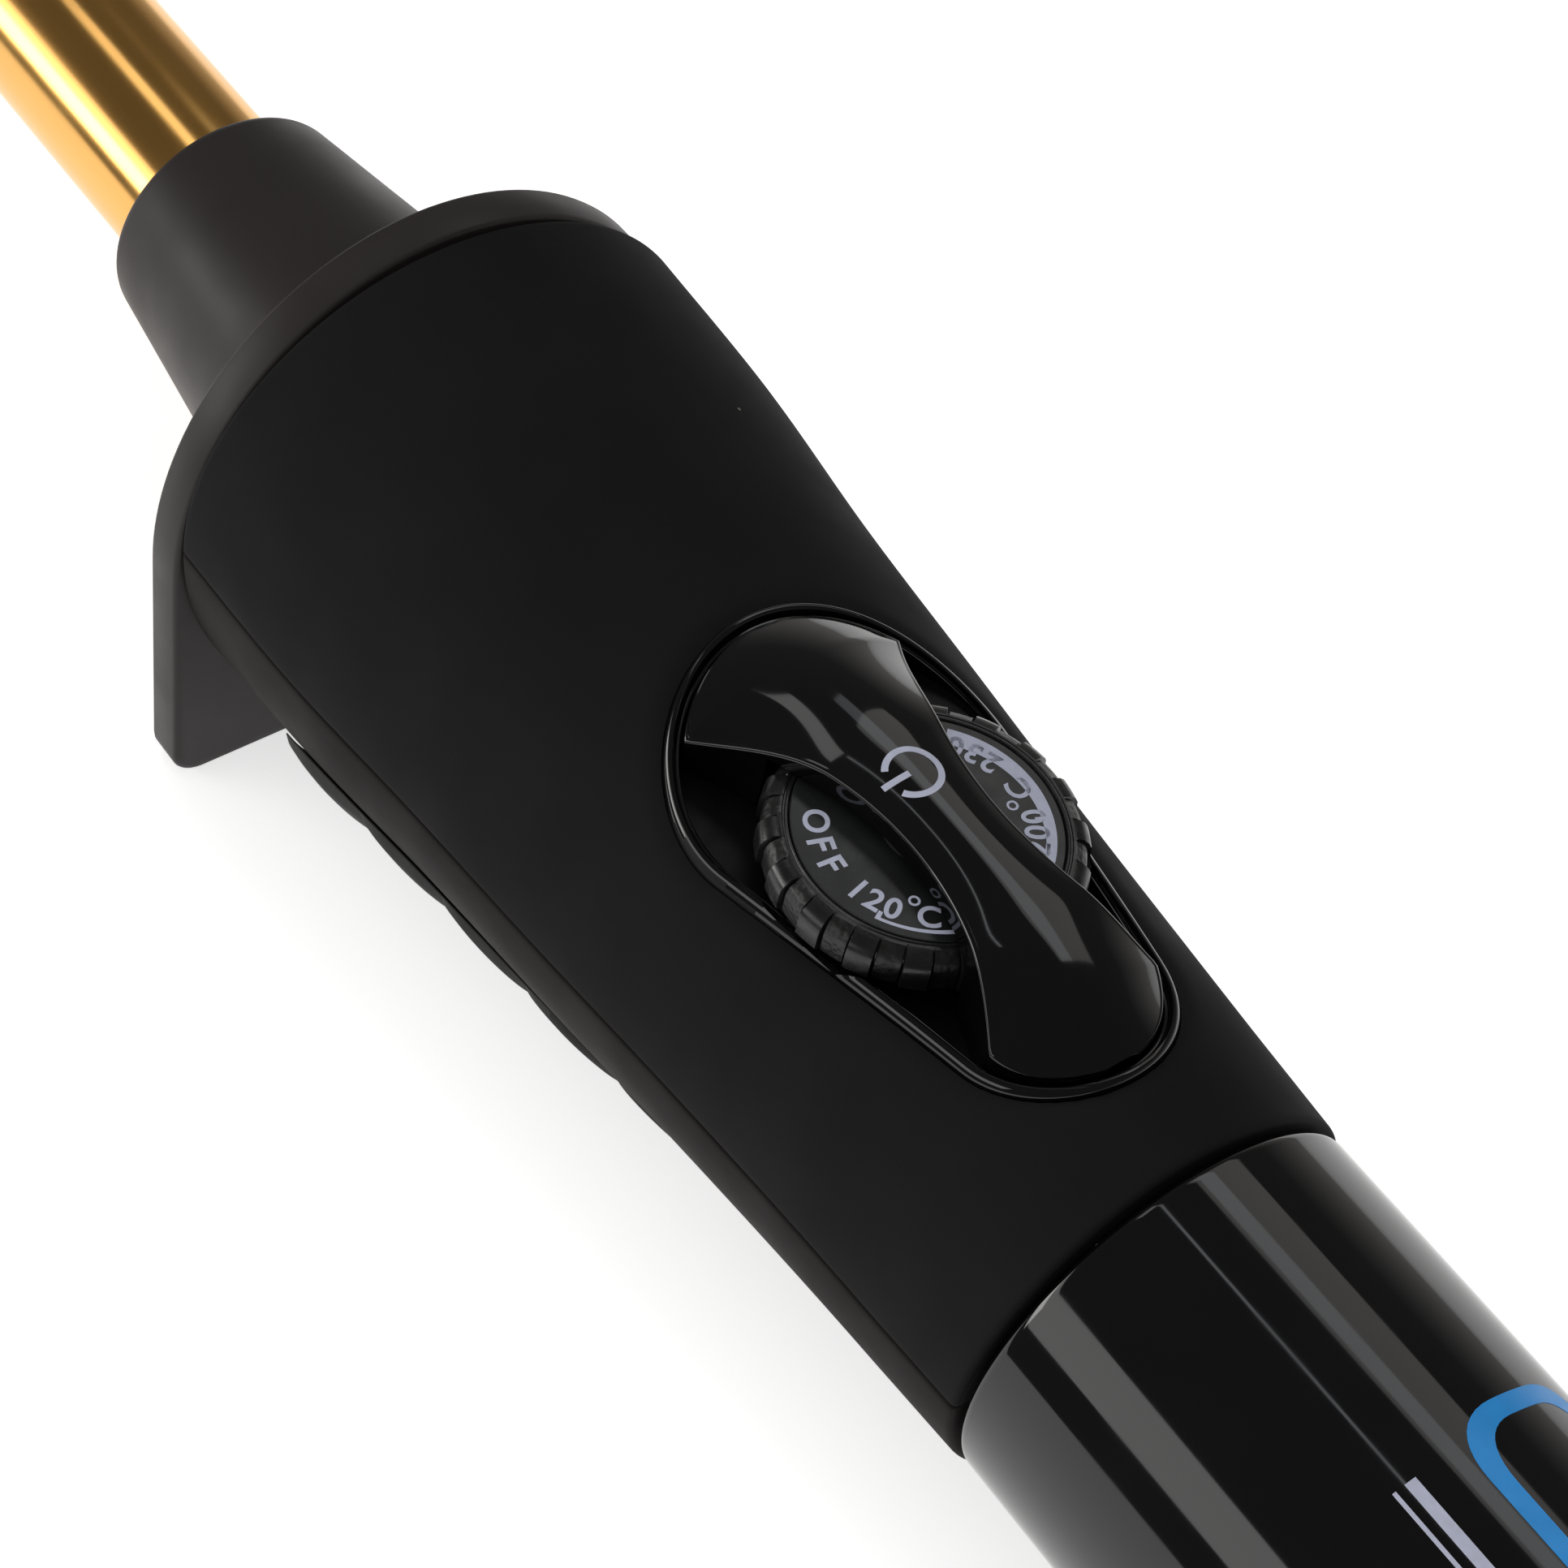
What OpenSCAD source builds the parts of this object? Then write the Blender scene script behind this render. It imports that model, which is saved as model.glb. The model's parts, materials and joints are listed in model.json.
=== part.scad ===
// Slim curling iron with a metal-coated barrel, a stand plate, a thumb dial and a swivel cord outlet.
// Every piece is drawn in the tool's own frame: +X along the axis towards the barrel's tip, +Z up
// (the dial side), origin on the axis where the grip meets the rear tube. at_rest() then lays the
// whole tool on a table, so that the sole of the stand plate is centred on the final origin.

/* [Barrel] */
// Diameter of the heated barrel
barrel_d = 16; // [14:0.5:19]
// Length of barrel in the open, from the collar to the cool tip
barrel_exposed = 150; // [110:5:180]
// Wall of the barrel tube
barrel_wall = 0.8; // [0.5:0.1:1.2]
// Length of the narrower neck by which the collar holds the barrel
barrel_seat = 39; // [38:1:42]
// How much smaller in radius the neck is than the barrel
neck_step = 1; // [0.8:0.1:1.2]
// Length of the cool tip past the barrel
tip_len = 18; // [12:1:24]
// How far the cool tip's spigot enters the barrel
tip_spigot = 9; // [6:0.5:12]

/* [Collar and stand plate] */
// Length of the tapered collar in front of the stand plate
collar_len = 29.9; // [24:0.5:36]
// Diameter of the collar at its front rim
collar_front_d = 21.8; // [20:0.2:28]
// Diameter of the collar where it meets the stand plate
collar_rear_d = 29.6; // [26:0.2:36]
// Rounding of the collar's front rim
collar_rim_r = 2; // [0.5:0.1:2.5]
// Width of the stand plate
plate_w = 48.6; // [44:0.2:58]
// Height of the stand plate's crown above the tool's axis
plate_top = 25.1; // [23:0.1:30]
// Depth of the stand plate's sole below the tool's axis
foot_depth = 25.3; // [24:0.1:30]
// Thickness of the stand plate
plate_t = 3.8; // [2.4:0.1:4.6]
// Rounding of the two corners of the foot
foot_corner_r = 2.5; // [1:0.1:4]

/* [Grip] */
// Length of the two-part grip
grip_len = 92.2; // [80:0.5:110]
// How far the grip stands proud of the rear tube
grip_proud = 0.3; // [0.1:0.05:0.6]
// Margin between the stand plate's side and the widest part of the grip
grip_side_margin = 0.4; // [0.2:0.1:1.5]
// Wall of the grip shells
shell_wall = 2; // [1.6:0.1:2.6]
// Length of the spigot that joins the grip to the rear tube
spigot_len = 9; // [6:0.5:12]
// Rise of the line between the two shells, per millimetre of length
parting_rise = 0.03; // [0:0.005:0.05]

/* [Finger pad] */
// Distance from the grip's rear end to the finger pad
pad_start = 31; // [26:0.5:36]
// Number of finger humps
pad_humps = 5; // [3:1:6]
// Length of one finger hump
hump_pitch = 9.7; // [8:0.1:10]
// How far a hump stands proud of the shell
hump_h = 1.6; // [0.8:0.1:2]
// Thickness of the pad between two humps
pad_base = 0.5; // [0.3:0.05:0.8]
// Angle below the side at which the pad's front end starts
pad_front_angle = 25; // [20:1:40]
// Angle below the side at which the pad's narrower rear end starts
pad_rear_angle = 46; // [25:1:55]

/* [Dial] */
// Diameter of the thumb dial
dial_d = 23.8; // [20:0.2:27]
// Thickness of the dial's rim
dial_rim_t = 3.4; // [2.8:0.1:3.8]
// Distance of the dial's axis from the grip's rear end
dial_x = 30.5; // [27:0.5:33]
// How far the label's face lies below the crown of the grip
dial_sink = 0.1; // [0:0.05:0.5]
// Diameter of the printed label
label_d = 19.6; // [16:0.2:20]
// Thickness of the printed label
label_t = 0.4; // [0.2:0.1:0.6]
// Number of raised teeth on the dial's rim
dial_teeth = 18; // [12:1:24]
// Height of a tooth
tooth_h = 0.35; // [0.2:0.05:0.5]
// Forward tilt of the dial and its circuit board, which follow the crown of the grip
dial_tilt = 2.1; // [0:0.1:4]
// Free space around and under the dial
dial_gap = 0.35; // [0.3:0.05:0.5]

/* [Dial housing] */
// Side clearance around the wider, front end of the oval tray
tray_front_margin = 1.6; // [1.4:0.1:2.5]
// How much smaller than the dial the rear end of the oval tray is
tray_rear_shrink = 2.7; // [2:0.1:3.5]
// Distance from the dial's axis to the centre of the tray's front end
tray_front_x = 8.5; // [7:0.5:10]
// Distance from the dial's axis to the centre of the tray's rear end
tray_rear_x = 14.4; // [12:0.2:15.5]
// Wall of the tray's rim
tray_wall = 1.2; // [1:0.1:1.5]
// Thickness of the tray's floor
tray_floor_t = 1.4; // [1.2:0.1:2]
// How far the rim stands proud of the grip
rim_proud = 0.25; // [0.1:0.05:0.4]
// Half width of the bridge at its waist
bridge_waist = 3.75; // [3:0.05:5]
// Widening of the bridge away from its waist, per square millimetre
bridge_flare = 0.0178; // [0.012:0.0002:0.022]
// Rise of the bridge above the grip
bridge_rise = 3.5; // [3:0.1:5]
// Gap between the bridge and the tray's rim
bridge_gap = 0.15; // [0.1:0.05:0.3]

/* [Rear tube and cord outlet] */
// Diameter of the rear tube
tube_d = 34; // [30:0.5:38]
// Length of the rear tube
tube_len = 80; // [65:1:110]
// Wall of the rear tube
tube_wall = 2; // [1.6:0.1:2.4]
// Length of the end cap behind the tube
cap_len = 8; // [7:0.5:12]
// Rounding of the end cap's edge
cap_round = 6; // [4:0.5:7]
// Bore of the cord outlet, for the sheath of the supply cord
cord_bore_d = 6.8; // [6:0.1:7.6]
// Depth of the cord bore
cord_bore_len = 24; // [18:1:30]
// Diameter of the swivelling shaft in the end cap
swivel_d = 12; // [11:0.1:14]
// Radial running clearance of the swivel and of the dial's shaft
running_gap = 0.05; // [0.02:0.01:0.09]
// Length of the outlet that shows behind the end cap
outlet_len = 18; // [12:1:24]

/* [Heater] */
// Number of ceramic heater plates
ptc_count = 4; // [3:1:5]
// Length of one ceramic heater plate
ptc_len = 24; // [18:1:28]
// Width of the ceramic heater plates
ptc_w = 6.5; // [5.5:0.1:7]
// Thickness of the ceramic heater plates
ptc_t = 2.2; // [1.8:0.1:2.6]
// Thickness of the electrode strips
electrode_t = 0.3; // [0.2:0.05:0.4]
// Thickness of the insulating film around the heater
film_t = 0.15; // [0.1:0.05:0.2]
// Distance from the collar to the heater blocks
heater_offset = 12; // [8:1:16]
// Radial gap between the heater blocks and the barrel
block_gap = 0.1; // [0.05:0.05:0.2]

/* [Electronics] */
// Length of the circuit board
board_len = 62; // [56:1:66]
// Width of the circuit board
board_w = 26; // [22:1:28]
// Thickness of the circuit board
board_t = 1.6; // [1:0.1:1.6]
// Depth of the board's top face below the dial's label
board_depth = 13.6; // [13:0.1:15]
// Diameter of the potentiometer's body
pot_d = 16; // [14:0.5:17]
// Height of the potentiometer's body
pot_h = 5.6; // [5:0.1:6]
// Diameter of the potentiometer's shaft
shaft_d = 4; // [3:0.1:5]
// Radius of the power wires
power_wire_r = 0.9; // [0.7:0.05:1]
// Radius of the sensor wires
sensor_wire_r = 0.45; // [0.3:0.05:0.5]
// Diameter of the screws' shanks
screw_d = 2.2; // [1.8:0.1:2.6]

/* [Hidden] */
$fn = 96;

fit_gap = 0.03;
seam_gap = 0.4;
pad_gap = 0.15;
part_gap = 0.05;
eps = 0.01;

// Stations along the axis
plate_rear_x = grip_len;
plate_front_x = plate_rear_x + plate_t;
collar_front_x = plate_front_x + collar_len;
barrel_front_x = collar_front_x + barrel_exposed;
barrel_rear_x = collar_front_x - barrel_seat;
tip_front_x = barrel_front_x + tip_len;
tube_rear_x = -tube_len;
cap_rear_x = tube_rear_x - cap_len;
sole_x = plate_rear_x + plate_t / 2;

// Radii
barrel_r = barrel_d / 2;
barrel_bore_r = barrel_r - barrel_wall;
neck_r = barrel_r - neck_step;
neck_bore_r = neck_r - barrel_wall;
tube_r = tube_d / 2;
tube_bore_r = tube_r - tube_wall;
spigot_r = tube_bore_r - fit_gap;
spigot_wall = 1.5;
dial_r = dial_d / 2;
label_r = label_d / 2;
shaft_r = shaft_d / 2;
screw_r = screw_d / 2;
screw_head_r = screw_r * 1.8;
screw_head_h = 1.5;
small_screw_r = screw_r * 0.8;
screw_sides = 32;

// The tool rests on the sole of the stand plate and on the rounded edge of its end cap
contact_run = sole_x - (cap_rear_x + cap_round);
contact_drop = foot_depth - (tube_r - cap_round);
rest_tilt = acos(cap_round / norm([contact_run, contact_drop])) - atan(contact_run / contact_drop);

module at_rest() {
    rotate([0, -rest_tilt, 0])
        translate([-sole_x, 0, foot_depth])
            children();
}

// Everything below the table top, in the tool's frame
module below_table() {
    translate([sole_x, 0, -foot_depth])
        rotate([0, rest_tilt, 0])
            translate([-tube_len, -plate_w, -foot_depth])
                cube([tube_len * 2, plate_w * 2, foot_depth]);
}

// ---- General shapes ----

// Smooth step from 0 to 1 as v goes from lo to hi
function smooth(v, lo, hi) = let(t = max(0, min(1, (v - lo) / (hi - lo)))) t * t * (3 - 2 * t);

// Slope of a curve through the list of values at station i, with even weights
function slope(values, i) =
    i == 0 ? values[1] - values[0] :
    i == len(values) - 1 ? values[i] - values[i - 1] :
    (values[i + 1] - values[i - 1]) / 2;

// Smooth curve through evenly spaced values, with t from 0 to 1 along the list
function curve(values, t) =
    let(
        s = max(0, min(0.999999, t)) * (len(values) - 1),
        i = floor(s),
        u = s - i,
        a = values[i],
        b = values[i + 1],
        ma = slope(values, i),
        mb = slope(values, i + 1)
    )
    (2 * pow(u, 3) - 3 * pow(u, 2) + 1) * a + (pow(u, 3) - 2 * pow(u, 2) + u) * ma
    + (3 * pow(u, 2) - 2 * pow(u, 3)) * b + (pow(u, 3) - pow(u, 2)) * mb;

// A closed solid through rings of points that all have the same count, from low x to high x. Where
// the rings are bands that bend round, such as half a tube, banded joins each point of their outer
// line to its partner on the inner line.
module skin(rings, banded = false) {
    n = len(rings[0]);
    m = len(rings);
    sides = [
        for (k = [0 : m - 2], i = [0 : n - 1])
            let(j = (i + 1) % n)
                each [[k * n + j, k * n + i, (k + 1) * n + j], [(k + 1) * n + j, k * n + i, (k + 1) * n + i]]
    ];
    last = (m - 1) * n;
    plain_ends = [[for (i = [0 : n - 1]) i], [for (i = [n - 1 : -1 : 0]) last + i]];
    banded_ends = [
        for (i = [0 : n / 2 - 2])
            let(a = i, b = i + 1, c = n - 2 - i, d = n - 1 - i)
                each [[b, c, d], [a, b, d], [last + c, last + b, last + a], [last + d, last + c, last + a]]
    ];
    polyhedron(points = [for (r = rings) each r], faces = concat(sides, banded ? banded_ends : plain_ends),
        convexity = 8);
}

// A wire along a list of points whose x rises from each to the next
wire_sides = 10;
module wire(path, r) {
    skin([for (p = path) [for (i = [0 : wire_sides - 1])
        let(a = i * 360 / wire_sides) [p.x, p.y + r * cos(a), p.z + r * sin(a)]]]);
}

// A turned piece on the X axis, from an outline of [radius, x] points
module turned(outline) {
    rotate([0, 90, 0])
        rotate_extrude()
            polygon(outline);
}

// A plain ring on the X axis
module ring_x(x0, x1, r_out, r_in) {
    turned([[r_in, x0], [r_out, x0], [r_out, x1], [r_in, x1]]);
}

// A rod between two points
module rod(a, b, r) {
    d = b - a;
    translate(a)
        rotate([0, acos(d.z / norm(d)), atan2(d.y, d.x)])
            cylinder(r = r, h = norm(d), $fn = 24);
}

// A block centred on x and y, standing on z
module block(size, at) {
    translate([at.x - size.x / 2, at.y - size.y / 2, at.z])
        cube(size);
}

// A screw with its shank going up from the underside of its head at z = 0
module screw(shank_len) {
    translate([0, 0, -screw_head_h])
        cylinder(r = screw_head_r, h = screw_head_h, $fn = screw_sides);
    translate([0, 0, -eps])
        cylinder(r = screw_r, h = shank_len + eps, $fn = screw_sides);
}

// ---- The grip's outer form ----

// Shares of the way from the rear radius to the front size, at even steps along the grip
side_growth = [0, 0.12, 0.3, 0.52, 0.71, 0.93, 1];
top_growth = [0, 0.2, 0.29, 0.36, 0.5, 0.8, 1];
bottom_growth = [0, 0.1, 0.19, 0.29, 0.4, 0.64, 1];
grip_rear_r = tube_r + grip_proud;
grip_front_side = plate_w / 2 - grip_side_margin;
grip_front_top = plate_top - 0.3;
grip_front_bottom = foot_depth - 1.7;

function parting_z(x) = parting_rise * max(0, x - spigot_len);
function grip_side(x) = grip_rear_r + (grip_front_side - grip_rear_r) * curve(side_growth, x / grip_len);
function grip_top(x) = grip_rear_r + (grip_front_top - grip_rear_r) * curve(top_growth, x / grip_len);
function grip_bottom(x) =
    grip_rear_r + (grip_front_bottom - grip_rear_r) * curve(bottom_growth, x / grip_len);

// Point of the grip's surface at station x and angle around, moved inwards by inset
function grip_point(x, angle, inset) =
    let(zc = parting_z(x), up = sin(angle) >= 0, h = up ? grip_top(x) - zc : grip_bottom(x) + zc)
    [x, (grip_side(x) - inset) * cos(angle), zc + (h - inset) * sin(angle)];

// Height of the grip's upper surface above a point of the tool's middle plane
function grip_z(x, y) =
    let(zc = parting_z(x), share = min(1, abs(y) / grip_side(x)))
    zc + (grip_top(x) - zc) * sqrt(1 - share * share);

// Height of the grip's lower surface below a point of the tool's middle plane
function grip_under(x, y) =
    let(zc = parting_z(x), share = min(1, abs(y) / grip_side(x)))
    zc - (grip_bottom(x) + zc) * sqrt(1 - share * share);

grip_stations = [for (i = [0 : 20]) i * grip_len / 20];
half_steps = 20;

function half_ring(x, start, wall) = concat(
    [for (i = [0 : half_steps]) grip_point(x, start + i * 180 / half_steps, 0)],
    [for (i = [half_steps : -1 : 0]) grip_point(x, start + i * 180 / half_steps, wall)]);

// The whole grip as a solid, moved inwards by inset
module grip_solid(inset) {
    skin([for (x = grip_stations) [for (i = [0 : 2 * half_steps - 1]) grip_point(x, i * 180 / half_steps, inset)]]);
}

// ---- The oval opening and the dial's frame ----

dial_z = grip_top(dial_x) - dial_sink;
front_c = dial_x + tray_front_x;
rear_c = dial_x - tray_rear_x;
front_r = dial_r + tray_front_margin;
rear_r = dial_r - tray_rear_shrink;
oval_angle = 90 + asin((front_r - rear_r) / (front_c - rear_c));
oval_steps = 16;

// Outline of the oval, moved inwards by inset
function oval(inset) = concat(
    [for (i = [0 : oval_steps])
        let(a = -oval_angle + 2 * oval_angle * i / oval_steps)
            [front_c + (front_r - inset) * cos(a), (front_r - inset) * sin(a)]],
    [for (i = [0 : oval_steps])
        let(a = oval_angle + 2 * (180 - oval_angle) * i / oval_steps)
            [rear_c + (rear_r - inset) * cos(a), (rear_r - inset) * sin(a)]]);

// Half width of the oval at station x, moved inwards by inset
function oval_half(x, inset) =
    let(
        lean = oval_angle - 90,
        on_front = front_c - (front_r - inset) * sin(lean),
        on_rear = rear_c - (rear_r - inset) * sin(lean),
        share = (x - on_rear) / (on_front - on_rear),
        rf = front_r - inset,
        rr = rear_r - inset
    )
    x > on_front ? sqrt(max(0, rf * rf - pow(x - front_c, 2))) :
    x < on_rear ? sqrt(max(0, rr * rr - pow(x - rear_c, 2))) :
    (rr + (rf - rr) * share) * cos(lean);

// Places its children in the dial's frame: z = 0 on the label's face, on the dial's axis
module dial_frame() {
    translate([dial_x, 0, dial_z])
        rotate([0, -dial_tilt, 0])
            children();
}

// The space that the turning dial needs, down to a depth below its label
module dial_space(depth) {
    dial_frame()
        translate([0, 0, -depth])
            cylinder(r = dial_r + dial_gap, h = depth + dial_gap);
}

under_dial = dial_rim_t + dial_gap;
tray_depth_below_rim = 1.6;
tray_floor_z = -dial_rim_t - tray_depth_below_rim;
hub_wall = 1.8;
hub_r = shaft_r + hub_wall;
bush_wall = 1.5;
bush_r = shaft_r + bush_wall;
bush_gap = 0.2;
shaft_top_depth = 1.2;
board_top_z = -board_depth;
board_rear = -14.5;
board_front = board_rear + board_len;
board_post_x = board_front - 5;
board_post_y = board_w / 2 - 3.5;
board_under_z = board_top_z - board_t - 0.02;

// Screws through the shells: [x, y] of each
handle_screw_places = [
    for (s = [-1, 1]) [spigot_len, s * tube_r * 0.52],
    for (s = [-1, 1]) [plate_rear_x - 11, s * plate_w * 0.27]
];
handle_post_wall = 1.7;
handle_post_r = screw_r + handle_post_wall;
post_bite = 0.4;
handle_head_z = -tube_r * 0.55;
handle_head_gap = 0.3;
handle_thread_len = 7;

// ---- Barrel ----

module barrel() {
    color([0.72, 0.55, 0.25])
        difference() {
            turned([
                [neck_bore_r, barrel_rear_x], [neck_r, barrel_rear_x],
                [neck_r, collar_front_x], [barrel_r, collar_front_x],
                [barrel_r, barrel_front_x], [barrel_bore_r, barrel_front_x],
                [barrel_bore_r, collar_front_x + barrel_wall], [neck_bore_r, collar_front_x + barrel_wall]]);
            barrel_screw_holes();
        }
}

module barrel_tip() {
    tip_r = barrel_r - 0.1;
    nose_r = barrel_r * 0.55;
    nose_taper = 0.6;
    color([0.1, 0.1, 0.1])
        rotate([0, 90, 0])
            rotate_extrude()
                polygon(concat(
                    [[0, barrel_front_x - tip_spigot], [barrel_bore_r - fit_gap, barrel_front_x - tip_spigot],
                        [barrel_bore_r - fit_gap, barrel_front_x], [tip_r, barrel_front_x]],
                    [for (a = [0 : 9 : 90])
                        [tip_r - nose_taper - nose_r + nose_r * cos(a), tip_front_x - nose_r + nose_r * sin(a)]],
                    [[0, tip_front_x]]));
}

sleeve_r = barrel_r + 0.9;
sleeve_setback = 1.5;
sleeve_front_x = collar_front_x - sleeve_setback;

module insulating_sleeve() {
    color([0.85, 0.83, 0.78])
        ring_x(plate_rear_x, sleeve_front_x, sleeve_r - fit_gap, neck_r + fit_gap);
}

// ---- Heater ----

ptc_gap = 0.5;
ptc_pitch = ptc_len + ptc_gap;
ptc_total = ptc_count * ptc_pitch - ptc_gap;
block_margin = 7;
heater_rear_x = collar_front_x + heater_offset;
heater_front_x = heater_rear_x + ptc_count * ptc_pitch + 2 * block_margin;
block_r = barrel_bore_r - block_gap;
block_cut = ptc_t / 2 + electrode_t + film_t + part_gap;
ptc_rear_x = heater_rear_x + block_margin;
strip_rear_x = heater_rear_x - 3;

// Half of the heater core: side 1 is the upper block and side -1 the lower one
module heater_block(side) {
    color([0.75, 0.76, 0.78])
        intersection() {
            rotate([0, 90, 0])
                translate([0, 0, heater_rear_x])
                    cylinder(r = block_r, h = heater_front_x - heater_rear_x);
            translate([heater_rear_x - 1, -barrel_r, side > 0 ? block_cut : -barrel_r - block_cut])
                cube([heater_front_x - heater_rear_x + 2, barrel_d, barrel_r]);
        }
}

module heater_block_upper() {
    heater_block(1);
}

module heater_block_lower() {
    heater_block(-1);
}

module ptc_plates() {
    color([0.35, 0.36, 0.4])
        for (i = [0 : ptc_count - 1])
            translate([ptc_rear_x + i * ptc_pitch, -ptc_w / 2, -ptc_t / 2])
                cube([ptc_len, ptc_w, ptc_t]);
}

module electrode_strips() {
    color([0.8, 0.8, 0.82])
        for (side = [0, 1])
            mirror([0, 0, side])
                translate([strip_rear_x, -ptc_w / 2, ptc_t / 2])
                    cube([ptc_rear_x + ptc_total - strip_rear_x, ptc_w, electrode_t]);
}

module insulating_film() {
    inner_h = ptc_t + 2 * electrode_t;
    overlap = 2;
    color([0.8, 0.45, 0.1])
        difference() {
            translate([ptc_rear_x - overlap, -ptc_w / 2 - film_t, -inner_h / 2 - film_t])
                cube([ptc_total + 2 * overlap, ptc_w + 2 * film_t, inner_h + 2 * film_t]);
            translate([ptc_rear_x - overlap - 1, -ptc_w / 2, -inner_h / 2])
                cube([ptc_total + 2 * overlap + 2, ptc_w, inner_h]);
        }
}

// A zigzag strip that presses the two heater blocks apart against the barrel
module spreader_spring() {
    waves = 8;
    end_margin = 10;
    wave_len = (heater_front_x - heater_rear_x - 2 * end_margin) / waves;
    strip_t = 0.4;
    strip_w = 1.6;
    reach = block_cut - strip_t - part_gap;
    line = [for (i = [0 : 2 * waves])
        [heater_rear_x + end_margin + i * wave_len / 2, i % 2 == 0 ? -reach : reach]];
    color([0.6, 0.6, 0.62])
        translate([0, -ptc_w / 2 - 0.5, 0])
            rotate([90, 0, 0])
                linear_extrude(height = strip_w)
                    polygon(concat(
                        [for (p = line) [p.x, p.y + strip_t / 2]],
                        [for (i = [2 * waves : -1 : 0]) [line[i].x, line[i].y - strip_t / 2]]));
}

sensor_x = heater_rear_x + 30;
sensor_y = ptc_w / 2 + 1.5;

module thermistor() {
    bead_r = 0.9;
    bead_len = 4;
    color([0.85, 0.3, 0.2]) {
        rod([sensor_x, sensor_y, 0], [sensor_x + bead_len, sensor_y, 0], bead_r);
        translate([sensor_x + bead_len, sensor_y, 0])
            sphere(r = bead_r, $fn = 24);
    }
}

fuse_r = 2;
fuse_len = 11;
fuse_x = plate_front_x + 6;
lead_y = neck_bore_r - 3;
sensor_lead_y = neck_bore_r - 1.3;

module thermal_fuse() {
    color([0.82, 0.82, 0.84])
        rod([fuse_x, -lead_y, 0], [fuse_x + fuse_len, -lead_y, 0], fuse_r);
}

// Height of a wire that starts just above the board's top face near its front end
board_end_x = dial_x + board_front;
board_edge_x = board_end_x + 0.6;
wire_start_z = dial_z - board_depth + (board_end_x - dial_x) * sin(dial_tilt) + power_wire_r + 0.3;
neck_entry_x = barrel_rear_x - 0.6;
neck_entry_z = 2.4;

// The three stretches of the heater's leads: each comes off the board, drops into the barrel's neck and
// ends against an electrode strip, one of them by way of the thermal fuse
module heater_leads() {
    strip_z = ptc_t / 2 + electrode_t / 2;
    strip_y = 1.5;
    end_x = strip_rear_x - part_gap;
    color([0.93, 0.93, 0.9]) {
        wire([[board_end_x - 4, -lead_y, wire_start_z], [board_edge_x, -lead_y, wire_start_z],
            [neck_entry_x, -lead_y, neck_entry_z], [plate_front_x, -lead_y, 0],
            [fuse_x - part_gap, -lead_y, 0]], power_wire_r);
        wire([[fuse_x + fuse_len + part_gap, -lead_y, 0], [collar_front_x, -lead_y, 0],
            [end_x - 2, -strip_y, strip_z], [end_x, -strip_y, strip_z]], power_wire_r);
        wire([[board_end_x - 4, lead_y, wire_start_z], [board_edge_x, lead_y, wire_start_z],
            [neck_entry_x, lead_y, neck_entry_z], [plate_front_x, lead_y, 0], [collar_front_x, lead_y, 0],
            [end_x - 2, strip_y, -strip_z], [end_x, strip_y, -strip_z]], power_wire_r);
    }
}

module sensor_leads() {
    spread = 0.5;
    start_y = sensor_lead_y + 1.1;
    start_z = wire_start_z - 0.4;
    color([0.95, 0.9, 0.6])
        for (s = [-1, 1])
            wire([[board_end_x - 3, start_y + s * 0.6, start_z], [board_edge_x, start_y + s * 0.6, start_z],
                [neck_entry_x, sensor_lead_y, neck_entry_z - 0.9 + s * spread],
                [plate_front_x, sensor_lead_y, s * spread], [collar_front_x, sensor_lead_y, s * spread],
                [heater_rear_x - 4, sensor_y, s * spread], [sensor_x - part_gap, sensor_y, s * spread]],
                sensor_wire_r);
}

// ---- Collar and stand plate ----

// Outline of the stand plate in [y, z]: an arched crown, straight sides and a flat sole
arch_z = -1.7;
arch_steps = 28;
plate_half = plate_w / 2;
sole_z = -foot_depth - plate_t * tan(rest_tilt);
function plate_outline() = concat(
    [for (i = [0 : arch_steps])
        let(a = i * 180 / arch_steps)
            [plate_half * cos(a), arch_z + (plate_top - arch_z) * sin(a)]],
    [for (i = [0 : 6])
        let(a = 180 + i * 15)
            [-plate_half + foot_corner_r + foot_corner_r * cos(a),
                sole_z + foot_corner_r + foot_corner_r * sin(a)]],
    [[0, sole_z]],
    [for (i = [0 : 6])
        let(a = 270 + i * 15)
            [plate_half - foot_corner_r + foot_corner_r * cos(a),
                sole_z + foot_corner_r + foot_corner_r * sin(a)]]);

collar_boss_wall = 2.6;
collar_boss_r = sleeve_r + collar_boss_wall;
plate_spigot_len = 6;
spigot_rear_x = plate_rear_x - plate_spigot_len;
plate_spigot_gap = 0.3;
plate_spigot_r = min(grip_side(spigot_rear_x), grip_top(spigot_rear_x), grip_bottom(spigot_rear_x))
    - shell_wall - plate_spigot_gap;
plate_spigot_wall = 1.8;
barrel_screw_x = barrel_rear_x + 2.4;

module barrel_screw_holes() {
    for (side = [0, 1])
        mirror([0, 0, side])
            translate([barrel_screw_x, 0, 0])
                cylinder(r = small_screw_r + fit_gap, h = tube_d, $fn = screw_sides);
}

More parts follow.
